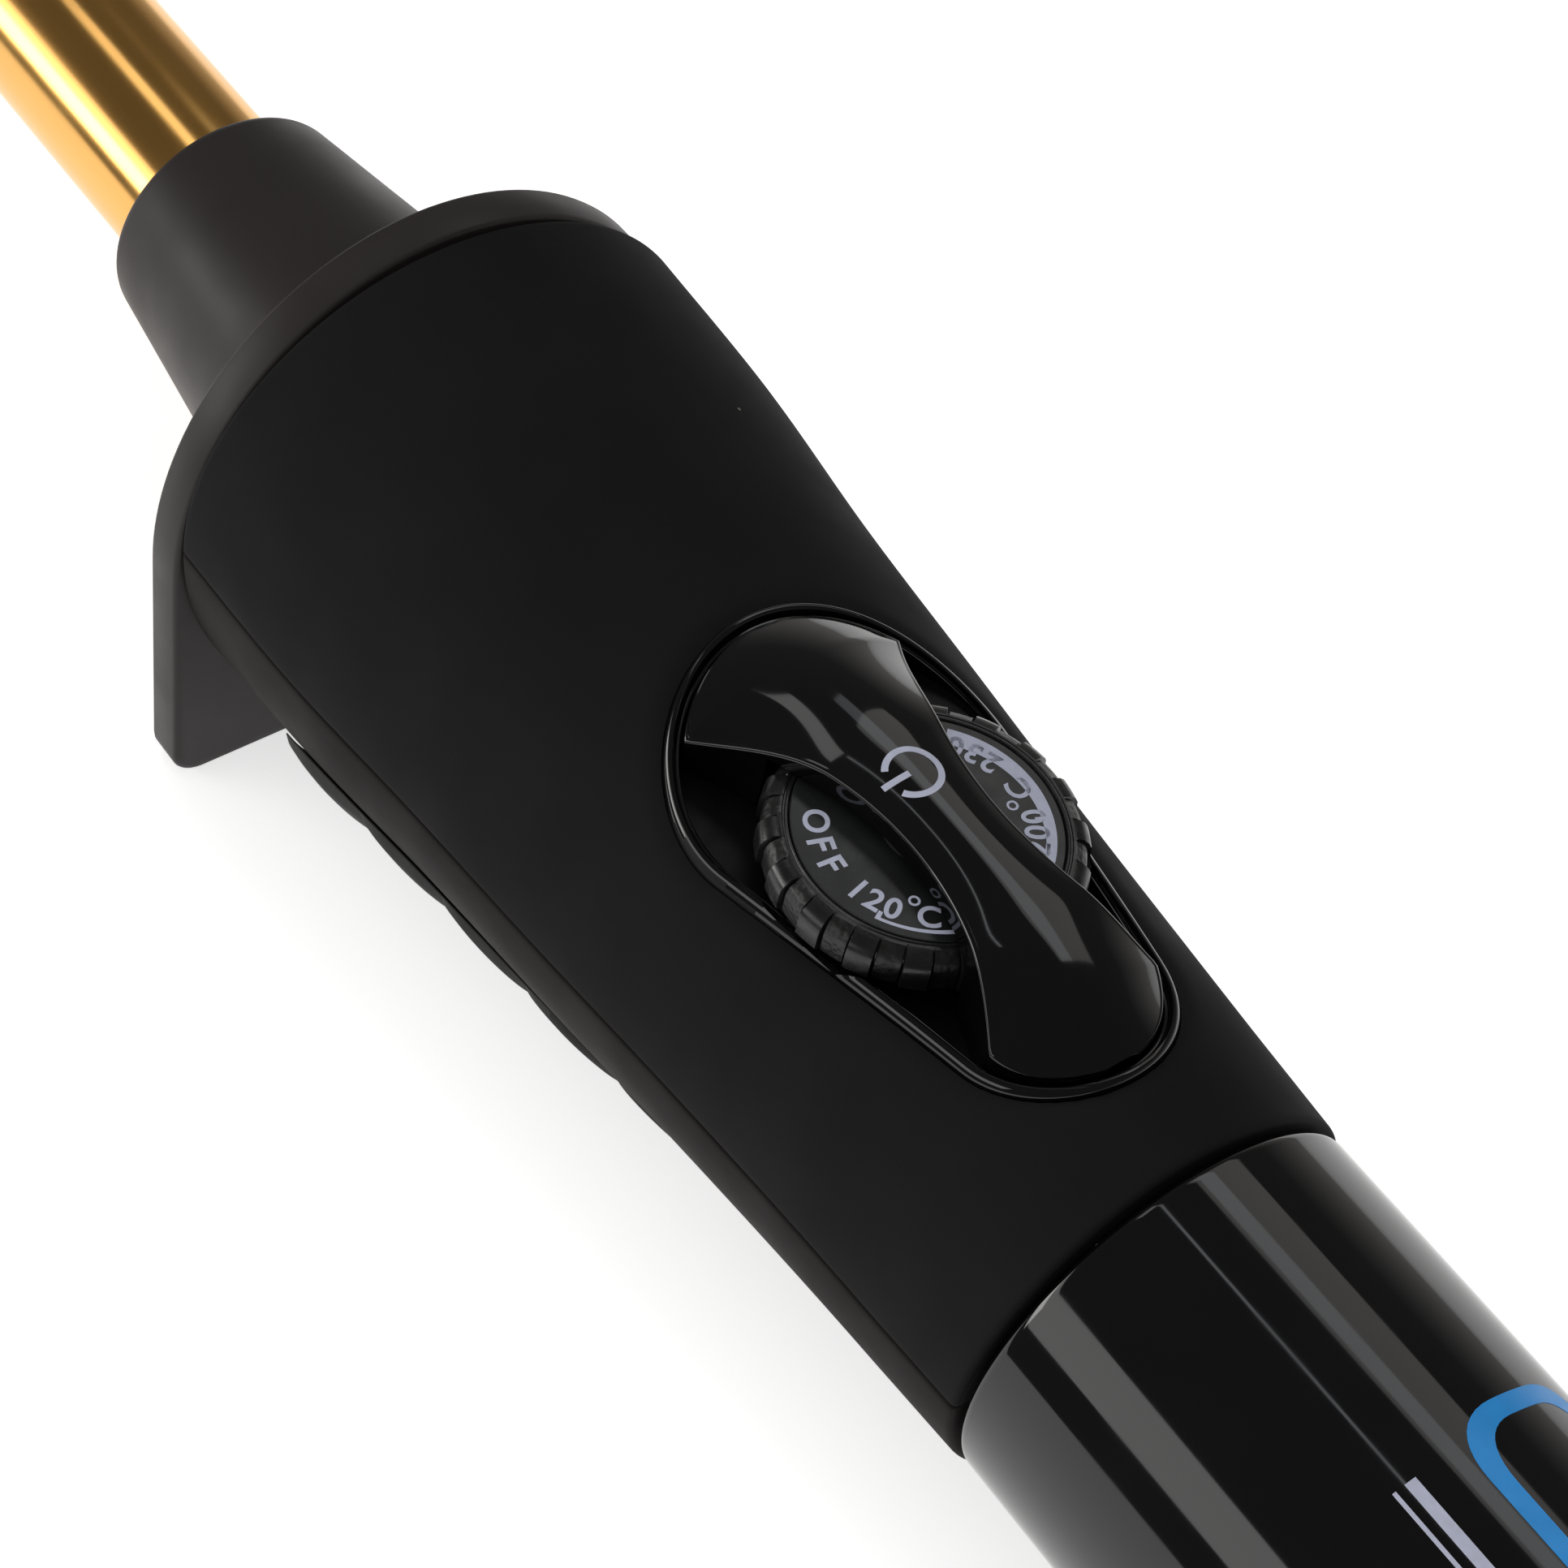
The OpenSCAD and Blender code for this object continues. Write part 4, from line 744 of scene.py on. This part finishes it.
outlet_radii += [0.6, 0.8, 0.5, 0, 0.2, 0, 0]
finish(lathe("swivel_outlet", rounded(outlet_points, outlet_radii)), WARM_BLACK,
       ["cord_outlet"], "swivel")


# ---- Dial housing ----

def floor_z(x):
    """Height of the tray's floor, which lies parallel to the dial."""
    return (tool_from_dial @ Vector((x - DIAL_X, 0, TRAY_FLOOR))).z


# Each pair is the distance in from the oval's outline and the height above the grip's surface
RIM_PROFILE = [(0, -1.2), (0, -0.45), (0.03, -0.2), (0.12, 0.02), (0.28, 0.19), (0.46, RIM_PROUD),
               (0.62, 0.2), (0.74, 0.05), (0.8, -0.16), (0.84, -0.42), (0.92, -0.52), (1.06, -0.54),
               (1.15, -0.6), (TRAY_WALL, -0.8)]
TRAY_STEPS = 240
TRAY_FLOOR_T = 1.4
TRAY_CORNER = 0.3
BUSH_HOLE_R = 3.9


def tray_ring(turn):
    ring = []
    outer, normal = oval_point(turn, 0)
    ring.append((outer.x, outer.y, floor_z(outer.x) - TRAY_FLOOR_T))
    for inset, lift in RIM_PROFILE:
        p = outer - normal * inset
        ring.append((p.x, p.y, grip_z(p.x, p.y) + lift))
    p = outer - normal * TRAY_WALL
    ring.append((p.x, p.y, floor_z(p.x) + TRAY_CORNER))
    p = outer - normal * (TRAY_WALL + TRAY_CORNER)
    ring.append((p.x, p.y, floor_z(p.x)))
    return ring


def make_tray():
    rings = [tray_ring(k / TRAY_STEPS) for k in range(TRAY_STEPS)]
    n = len(rings[0])
    points = [p for ring in rings for p in ring]
    faces = []
    for k in range(TRAY_STEPS):
        here = k * n
        there = (k + 1) % TRAY_STEPS * n
        faces += [(here + i, here + i + 1, there + i + 1, there + i) for i in range(n - 1)]
    faces.append(tuple(k * n for k in range(TRAY_STEPS)))
    faces.append(tuple(k * n + n - 1 for k in range(TRAY_STEPS)))
    return new_piece("dial_housing", points, faces)


tray = make_tray()
cut(tray, dial_room(DIAL_RIM_T + DIAL_GAP, ROOM_ABOVE_DIAL),
    prism("bush_hole", circle(BUSH_HOLE_R), -20, -3, dial_frame))
tray.data.materials.append(GLOSS_BLACK)
tray.data.materials.append(TRAY_SATIN)
into_dial = dial_frame.inverted()
for face in tray.data.polygons:
    if (into_dial @ face.center).z < TRAY_FLOOR + 2 * TRAY_CORNER:
        face.material_index = 1
finish(tray, GLOSS_BLACK, ["dial_tray"])


# ---- Bridge over the dial ----

BRIDGE_GAP = 0.15
BRIDGE_REAR_X = REAR_C - (REAR_R - BRIDGE_INSET) + BRIDGE_GAP
BRIDGE_FRONT_X = FRONT_C + (FRONT_R - BRIDGE_INSET) - BRIDGE_GAP
BRIDGE_SHELL = 1.7
BRIDGE_EDGE_R = 0.4
BRIDGE_STEPS = 120
VAULT_HALF = 9.5


def bridge_half(x):
    hourglass = BRIDGE_WAIST + BRIDGE_FLARE * (x - BRIDGE_WAIST_X) ** 2
    return max(0.02, min(oval_half(x, BRIDGE_INSET), hourglass))


def middle_lift(x):
    middle = (BRIDGE_REAR_X + BRIDGE_FRONT_X) / 2
    return BRIDGE_RISE * (1 - abs((x - middle) / (BRIDGE_FRONT_X - middle)) ** 3)


def edge_lift(x):
    rear = smooth_step(x, BRIDGE_REAR_X + 2, DIAL_X - DIAL_R + 1.4)
    front = smooth_step(x, DIAL_X + DIAL_R * 0.46, BRIDGE_FRONT_X - 3.5)
    return BRIDGE_RISE * (1 - CROWN_DROP) * rear * (1 - front)


def bridge_crown(x, y):
    share = clamp(abs(y) / bridge_half(x))
    edge = edge_lift(x)
    return grip_z(x, y) + edge + (middle_lift(x) - edge) * (1 - share * share)


def bridge_under(x, y):
    """Underside: a vault over the dial, and feet that reach the tray's floor in front of and behind it."""
    foot = floor_z(x) + BRIDGE_GAP
    if abs(x - DIAL_X) > VAULT_HALF:
        return foot
    dial_top = (tool_from_dial @ Vector((x - DIAL_X, 0, 0))).z + DIAL_GAP
    return max(dial_top, bridge_crown(x, y) - BRIDGE_SHELL)


def bridge_ring(x, steps=44):
    half = bridge_half(x)
    edge = min(BRIDGE_EDGE_R, half * 0.5)
    ring = []
    for i in range(steps + 1):
        y = -(half - edge) * math.cos(math.pi * i / steps)
        ring.append((x, y, bridge_crown(x, y)))
    for sign in (1, -1):
        side = []
        for k in range(1, 6):
            b = math.radians(90 * k / 5)
            y = sign * (half - edge + edge * math.sin(b))
            side.append((x, y, bridge_crown(x, half - edge) - edge * (1 - math.cos(b))))
        side.append((x, sign * half, max(bridge_under(x, half), floor_z(x))))
        if sign > 0:
            ring += side
            across = [half * (1 - 2 * j / 12) for j in range(1, 12)]
            ring += [(x, y, bridge_under(x, y)) for y in across]
        else:
            ring += reversed(side)
    return ring


bridge_len = BRIDGE_FRONT_X - BRIDGE_REAR_X
bridge_stations = [BRIDGE_REAR_X + bridge_len * (1 - math.cos(math.pi * i / BRIDGE_STEPS)) / 2
                   for i in range(BRIDGE_STEPS + 1)]
bridge = loft("dial_bridge_arch", [bridge_ring(x) for x in bridge_stations])
cut(bridge, prism("dial_room", circle(DIAL_R + DIAL_GAP), TRAY_FLOOR - 1, DIAL_GAP, dial_frame))
finish(bridge, GLOSS_BLACK, ["dial_bridge"])


# ---- Temperature dial ----

# Angles in degrees from the middle of a land: its half width, the end of the narrow gap beside it, and the
# steps of one tooth's period
LAND_HALF = 4.55
GAP_END = 5.25
GAP_LEVEL = -0.9
TOOTH_STEPS = [-5.6, -GAP_END, -5.0, -LAND_HALF, -4.2, -2.8, -1.4, 0, 1.4, 2.8, 4.2, LAND_HALF, 5.0, GAP_END,
               5.6, 7.0, 8.5, 10, 11.5, 13]
HUB_R = 3.8
HUB_END = TRAY_FLOOR + DIAL_GAP
SHAFT_HOLE_R = 2.03

# Points of the rim's section: radius, height, how far a land stands out there, and the depth of the gap
RIM_SECTION = [
    (9.84, -0.6, 0, 0), (9.86, -0.12, 0, 0), (9.95, 0.0, 0, 0), (10.08, 0.02, 0, 0), (10.16, -0.1, 0, 0),
    (10.26, -0.1, 0, 0), (10.34, -0.02, 0, 0), (10.5, -0.02, 0, 0.1), (10.62, -0.14, 0.3, 0.5),
    (10.95, -0.3, 0.9, 1), (11.3, -0.62, 1, 1), (11.48, -1.0, 1, 1), (11.55, -1.5, 1, 1), (11.55, -2.3, 1, 1),
    (11.55, -2.95, 1, 1), (11.5, -3.2, 0.6, 0.6), (11.3, -3.38, 0, 0), (9.9, -DIAL_RIM_T, 0, 0),
    (9.88, -2.0, 0, 0), (HUB_R, -2.0, 0, 0), (HUB_R, HUB_END, 0, 0), (SHAFT_HOLE_R, HUB_END, 0, 0),
    (SHAFT_HOLE_R, -1.2, 0, 0), (0, -1.2, 0, 0), (0, -0.6, 0, 0)]


def land_height(offset):
    """1 on a land, 0 on a field, below 0 in the narrow gap between them."""
    if abs(offset) <= LAND_HALF:
        return 1.0
    return GAP_LEVEL if abs(offset) <= GAP_END else 0.0


def rim_point(angle, level, r, z, share, gap):
    """A point of the rim at an angle around, which stands out sideways at the rim and upwards further in."""
    rise = TOOTH_H * level * (share if level > 0 else gap)
    tilt = clamp((r - 10.4) / 1.1)
    reach = r + rise * tilt
    return (reach * math.cos(angle), reach * math.sin(angle), z + rise * (1 - tilt) * 0.9)


def make_dial():
    rings = []
    for tooth in range(DIAL_TEETH):
        for offset in TOOTH_STEPS:
            angle = math.radians(tooth * 360 / DIAL_TEETH + offset)
            rings.append([rim_point(angle, land_height(offset), *point) for point in RIM_SECTION])
    return loft("thumb_dial", rings, closed=True, place=dial_frame, sharp=30)


dial = make_dial()
dial.data.materials.append(DIAL_LAND)
dial.data.materials.append(DIAL_FIELD)


def paint_fields(piece):
    """Gives the fields between the lands their leathery finish."""
    step = 360 / DIAL_TEETH
    for face in piece.data.polygons:
        centre = into_dial @ face.center
        angle = math.degrees(math.atan2(centre.y, centre.x))
        offset = (angle + step / 2) % step - step / 2
        if abs(offset) > GAP_END and Vector((centre.x, centre.y)).length > 10.5:
            face.material_index = 1


paint_fields(dial)
finish(dial, DIAL_LAND, ["temperature_dial"], "dial")

label_section = rounded([(0, -0.4), (LABEL_R, -0.4), (LABEL_R, -0.03), (3.4, -0.05), (3.25, 0.06),
                         (3.05, 0.06), (2.9, -0.1), (0, -0.1)], [0, 0, 0.12, 0.05, 0.05, 0.05, 0.05, 0])


def turned_on_dial(name, section, steps=128):
    """A turned piece on the dial's own axis, from a closed outline of (radius, height)."""
    rings = [[(p[0] * math.cos(a), p[0] * math.sin(a), p[1]) for p in section]
             for a in (2 * math.pi * k / steps for k in range(steps))]
    return loft(name, rings, closed=True, place=dial_frame)


finish(turned_on_dial("label_disc", label_section), LABEL_FACE, ["dial_label"], "dial")


# ---- Print on the dial ----

PRINT_T = 0.025
PRINT_ROOT = 0.03
LABEL_DEPTH = 0.035
TEXT_R = 7.75
TEXT_H = 1.85
TEXT_WEIGHT = 0.022
TEXT_ROOT = 0.05


def ribbon(name, left, right, surface_at, closed=False, place=tool):
    """A thin printed band between two rows of 2D points. surface_at gives the point at a height above it."""
    sections = [[surface_at(a, PRINT_T), surface_at(b, PRINT_T), surface_at(b, -PRINT_ROOT),
                 surface_at(a, -PRINT_ROOT)] for a, b in zip(left, right)]
    return loft(name, sections, closed=closed, place=place, sharp=30)


def on_label(p, height):
    return (p[0], p[1], height - LABEL_DEPTH)


def on_circle(radius, degrees):
    return (radius * math.cos(math.radians(degrees)), radius * math.sin(math.radians(degrees)))


def letter(name, character, degrees, radius=TEXT_R, height=TEXT_H):
    """One character whose top points at the dial's centre."""
    curve = bpy.data.curves.new(name, "FONT")
    curve.body = character
    curve.offset = TEXT_WEIGHT
    curve.resolution_u = 6
    holder = bpy.data.objects.new(name + "_outline", curve)
    bpy.context.scene.collection.objects.link(holder)
    bpy.context.view_layer.update()
    mesh = bpy.data.meshes.new_from_object(holder.evaluated_get(bpy.context.evaluated_depsgraph_get()))
    bpy.data.objects.remove(holder)
    work = bmesh.new()
    work.from_mesh(mesh)
    bmesh.ops.remove_doubles(work, verts=work.verts, dist=0.0001)
    lows = [min(v.co[i] for v in work.verts) for i in (0, 1)]
    highs = [max(v.co[i] for v in work.verts) for i in (0, 1)]
    scale = height / (highs[1] - lows[1])
    middle = Vector(((lows[0] + highs[0]) / 2, (lows[1] + highs[1]) / 2, 0))
    spin = Matrix.Rotation(math.radians(degrees + 90), 4, "Z")
    at = Matrix.Translation(Vector((*on_circle(radius, degrees), PRINT_T - LABEL_DEPTH)))
    to_place = dial_frame @ at @ spin @ Matrix.Scale(scale, 4) @ Matrix.Translation(-middle)
    bmesh.ops.transform(work, matrix=to_place, verts=work.verts)
    bottom = bmesh.ops.extrude_face_region(work, geom=list(work.faces))
    moved = [g for g in bottom["geom"] if isinstance(g, bmesh.types.BMVert)]
    bmesh.ops.translate(work, verts=moved, vec=-dial_z_axis * TEXT_ROOT * MM)
    bmesh.ops.recalc_face_normals(work, faces=work.faces)
    work.to_mesh(mesh)
    work.free()
    mesh.name = name
    shade(mesh, 30)
    piece = bpy.data.objects.new(name, mesh)
    bpy.context.scene.collection.objects.link(piece)
    return finish(piece, PRINT_WHITE, body="dial")


for index, (character, degrees) in enumerate((("O", 57), ("F", 72), ("F", 85))):
    letter(f"mark_off_{index}", character, degrees, TEXT_R + 0.15, TEXT_H * 1.05)

# Degrees around the dial from the middle of a setting's marks to its first figure, its degree ring and its
# unit, and between its figures
FIRST_FIGURE = -20
FIGURE_PITCH = 10.3
DEGREE_RING_AT = 10.5
UNIT_AT = 19.5
for centre, digits in ((124, "120"), (186, "160"), (247, "200"), (308, "230")):
    for index, character in enumerate(digits):
        letter(f"mark_{digits}_{index}", character, centre + FIRST_FIGURE + index * FIGURE_PITCH)
    letter(f"mark_{digits}_unit", "C", centre + UNIT_AT)
    ring_at = on_circle(TEXT_R - 1.15, centre + DEGREE_RING_AT)
    inner = circle(0.26, ring_at, 24)
    outer = circle(0.44, ring_at, 24)
    finish(ribbon(f"mark_{digits}_degree", inner, outer, on_label, closed=True, place=dial_frame),
           PRINT_WHITE, body="dial")

# The wedge that grows from the lowest setting to the highest
WEDGE_START = 120
WEDGE_END = 313
WEDGE_R = 9.15
WEDGE_THIN = 0.24
WEDGE_GROWTH = 1.2
wedge_shares = [i / 90 for i in range(91)]
wedge_angles = [WEDGE_START + (WEDGE_END - WEDGE_START) * share for share in wedge_shares]
wedge_outer = [on_circle(WEDGE_R, angle) for angle in wedge_angles]
wedge_inner = [on_circle(WEDGE_R - WEDGE_THIN - WEDGE_GROWTH * share ** 1.5, angle)
               for share, angle in zip(wedge_shares, wedge_angles)]
finish(ribbon("mark_wedge", wedge_inner, wedge_outer, on_label, place=dial_frame), PRINT_WHITE,
       body="dial")


def over_wedge(p, height):
    return on_label(p, height + 0.004)


# Each tick's angle, its reach inwards from the wedge's outer edge, and its width in degrees
WEDGE_TICKS = [(WEDGE_START, 0.75, 2.2), (WEDGE_END, 1.75, 2.4), (184, 1.0, 2.0), (246, 1.35, 2.0)]
for index, (degrees, reach, width) in enumerate(WEDGE_TICKS):
    sides = (degrees - width / 2, degrees + width / 2)
    low = [on_circle(WEDGE_R - reach, angle) for angle in sides]
    high = [on_circle(WEDGE_R, angle) for angle in sides]
    finish(ribbon(f"mark_tick_{index}", low, high, over_wedge, place=dial_frame), PRINT_WHITE,
           body="dial")


# ---- Power sign on the bridge ----

POWER_X = 32.9
POWER_Y = 0.2
POWER_R = 2.0
POWER_STROKE = 0.5
POWER_GAP = 32
POWER_BAR_START = 0.35
POWER_BAR_STEP = 0.25


def on_bridge(p, height):
    return (p[0], p[1], bridge_crown(p[0], p[1]) + height)


def power_arc(radius):
    """Ring of the power sign, open towards +Y by a gap to each side, in degrees."""
    turns = [math.radians(90 + POWER_GAP + (360 - 2 * POWER_GAP) * i / 60) for i in range(61)]
    return [(POWER_X + radius * math.cos(a), POWER_Y + radius * math.sin(a)) for a in turns]


power_inner = power_arc(POWER_R - POWER_STROKE / 2)
power_outer = power_arc(POWER_R + POWER_STROKE / 2)
finish(ribbon("power_ring", power_inner, power_outer, on_bridge), PRINT_WHITE)
bar_rows = [POWER_Y + POWER_BAR_START + i * POWER_BAR_STEP for i in range(10)]
finish(ribbon("power_bar", [(POWER_X - POWER_STROKE / 2, y) for y in bar_rows],
              [(POWER_X + POWER_STROKE / 2, y) for y in bar_rows], on_bridge), PRINT_WHITE)


# ---- Plain marks on the rear tube ----

def on_tube(p, height):
    """Point of the tube's surface: p is the station and the distance around from the top, towards +Y."""
    a = math.pi / 2 - p[1] / TUBE_R
    return (p[0], (TUBE_R + height) * math.cos(a), (TUBE_R + height) * math.sin(a))


def rounded_frame(x0, x1, s0, s1, radius):
    corners = [(x0, s0), (x1, s0), (x1, s1), (x0, s1)]
    fine = []
    outline = rounded(corners, radius, steps=10)
    for i, p in enumerate(outline):
        after = outline[(i + 1) % len(outline)]
        pieces = max(1, int((after - p).length / 0.8))
        fine += [p.lerp(after, k / pieces) for k in range(pieces)]
    return fine


def frame_band(name, x0, x1, s0, s1, radius, stroke, material):
    """A plain rounded outline printed on the tube."""
    outer = rounded_frame(x0, x1, s0, s1, radius)
    centre = Vector(((x0 + x1) / 2, (s0 + s1) / 2))
    half = Vector(((x1 - x0) / 2, (s1 - s0) / 2))
    shrink = Vector(((half.x - stroke) / half.x, (half.y - stroke) / half.y))
    inner = [centre + Vector(((p.x - centre.x) * shrink.x, (p.y - centre.y) * shrink.y)) for p in outer]
    return finish(ribbon(name, inner, outer, on_tube, closed=True), material)


frame_band("tube_frame_mark", -62, -23.8, -13.6, -0.4, 4.5, 1.5, PRINT_BLUE)
rule_rows = [-25.5 - i for i in range(27)]
for index, (low, high) in enumerate(((3.4, 4.3), (5.0, 5.3))):
    near_edge = [(x, low) for x in rule_rows]
    far_edge = [(x, high) for x in rule_rows]
    finish(ribbon(f"tube_rule_{index}", near_edge, far_edge, on_tube), PRINT_WHITE)


# ---- Stage, lights and camera ----

def stage_floor():
    """A pale table top, with its near edge close behind the viewer's side of the tool."""
    near, far, left, right = 0.17, -2.5, -1.6, 2.2
    corners = [(left, far, 0), (right, far, 0), (right, near, 0), (left, near, 0)]
    mesh = bpy.data.meshes.new("table_top")
    mesh.from_pydata(corners, [], [(0, 1, 2, 3)])
    floor = bpy.data.objects.new("table_top", mesh)
    bpy.context.scene.collection.objects.link(floor)
    paper = surface("pale_paper", (0.86, 0.86, 0.86), 0.9, grain=0.6, grain_depth=0.01, mottle=0.01,
                    mottle_size=60, Emission_Strength=0.66, Specular_IOR_Level=0.0)
    paper.node_tree.nodes["Principled BSDF"].inputs["Emission Color"].default_value = (1, 1, 1, 1)
    mesh.materials.append(paper)


def area_light(name, at, size, radiance, color=(1, 1, 1), glossy=True):
    """A soft rectangle that faces the tool, with its long side along it. Its place is in tool millimetres."""
    data = bpy.data.lights.new(name, "AREA")
    data.shape = "RECTANGLE"
    data.size = size[0] * MM
    data.size_y = size[1] * MM
    data.energy = radiance * math.pi * data.size * data.size_y
    data.color = color
    light = bpy.data.objects.new(name, data)
    bpy.context.scene.collection.objects.link(light)
    position = tool @ Vector(at)
    away = (position - tool @ Vector((DIAL_X, 0, 0))).normalized()
    side = (axis_x - away * axis_x.dot(away)).normalized()
    up = away.cross(side)
    light.matrix_world = Matrix([[side[i], up[i], away[i], position[i]] for i in range(3)] + [[0, 0, 0, 1]])
    light.visible_camera = False
    light.visible_glossy = glossy


def set_world():
    """White where the camera looks past the table. For what lights and mirrors it is a dim room, with a pale
    backdrop on the far side that fades upwards."""
    world = bpy.data.worlds.new("studio")
    world.use_nodes = True
    bpy.context.scene.world = world
    tree = world.node_tree
    tree.nodes.clear()
    seen = add(tree, "ShaderNodeBackground", {"Color": (1, 1, 1, 1), "Strength": 1.0})
    dim = add(tree, "ShaderNodeBackground", {"Color": (1, 0.96, 0.93, 1)})
    direction = add(tree, "ShaderNodeSeparateXYZ")
    tree.links.new(add(tree, "ShaderNodeTexCoord").outputs["Generated"], direction.inputs[0])
    low = ramp_between(tree, direction.outputs["Z"], -0.05, 0.4, 0.4, 0)
    far = ramp_between(tree, direction.outputs["Y"], -0.5, 0.1, 1, 0)
    backdrop = add(tree, "ShaderNodeMath", {2: 0.11}, operation="MULTIPLY_ADD")
    tree.links.new(low, backdrop.inputs[0])
    tree.links.new(far, backdrop.inputs[1])
    tree.links.new(backdrop.outputs[0], dim.inputs["Strength"])
    mix = add(tree, "ShaderNodeMixShader")
    tree.links.new(add(tree, "ShaderNodeLightPath").outputs["Is Camera Ray"], mix.inputs[0])
    tree.links.new(dim.outputs[0], mix.inputs[1])
    tree.links.new(seen.outputs[0], mix.inputs[2])
    tree.links.new(mix.outputs[0], add(tree, "ShaderNodeOutputWorld").inputs[0])


def set_camera():
    position = Vector((-80.4, 123.0, 214.2))
    target = Vector((38.95, 6.33, 19.0))
    roll = math.radians(11.1)
    ahead = (target - position).normalized()
    level = ahead.cross(Vector((0, 0, 1))).normalized()
    upright = level.cross(ahead)
    right = level * math.cos(roll) + upright * math.sin(roll)
    up = right.cross(ahead)
    spin = tool.to_3x3() * (1 / MM)
    axes = [spin @ right, spin @ up, spin @ -ahead, tool @ position]
    data = bpy.data.cameras.new("camera")
    data.sensor_width = 36
    data.lens = 84.3
    data.clip_start = 0.01
    camera = bpy.data.objects.new("camera", data)
    camera.matrix_world = Matrix([[c[i] for c in axes] for i in range(3)] + [[0, 0, 0, 1]])
    bpy.context.scene.collection.objects.link(camera)
    bpy.context.scene.camera = camera


stage_floor()
set_world()
area_light("overhead_fill", (60, 150, 1100), (1400, 1200), 0.95, glossy=False)
area_light("near_softbox", (420, 900, 300), (1700, 380), 1.9, (1, 0.98, 0.97))
area_light("near_core", (900, 900, 165), (700, 300), 4.2, (1, 0.99, 0.97))
area_light("crown_box", (270, -580, 800), (740, 440), 0.8, (1, 0.97, 0.94))
area_light("crown_strip", (300, -450, 800), (800, 130), 0.8, (0.86, 0.93, 1))
area_light("wing_box", (640, 30, 800), (260, 150), 1.5, (1, 0.99, 0.98))
area_light("thin_strip", (260, -40, 950), (500, 20), 1.8, (0.92, 0.97, 1))
set_camera()
bpy.context.scene.view_settings.view_transform = "Standard"
bpy.context.scene.view_settings.look = "None"
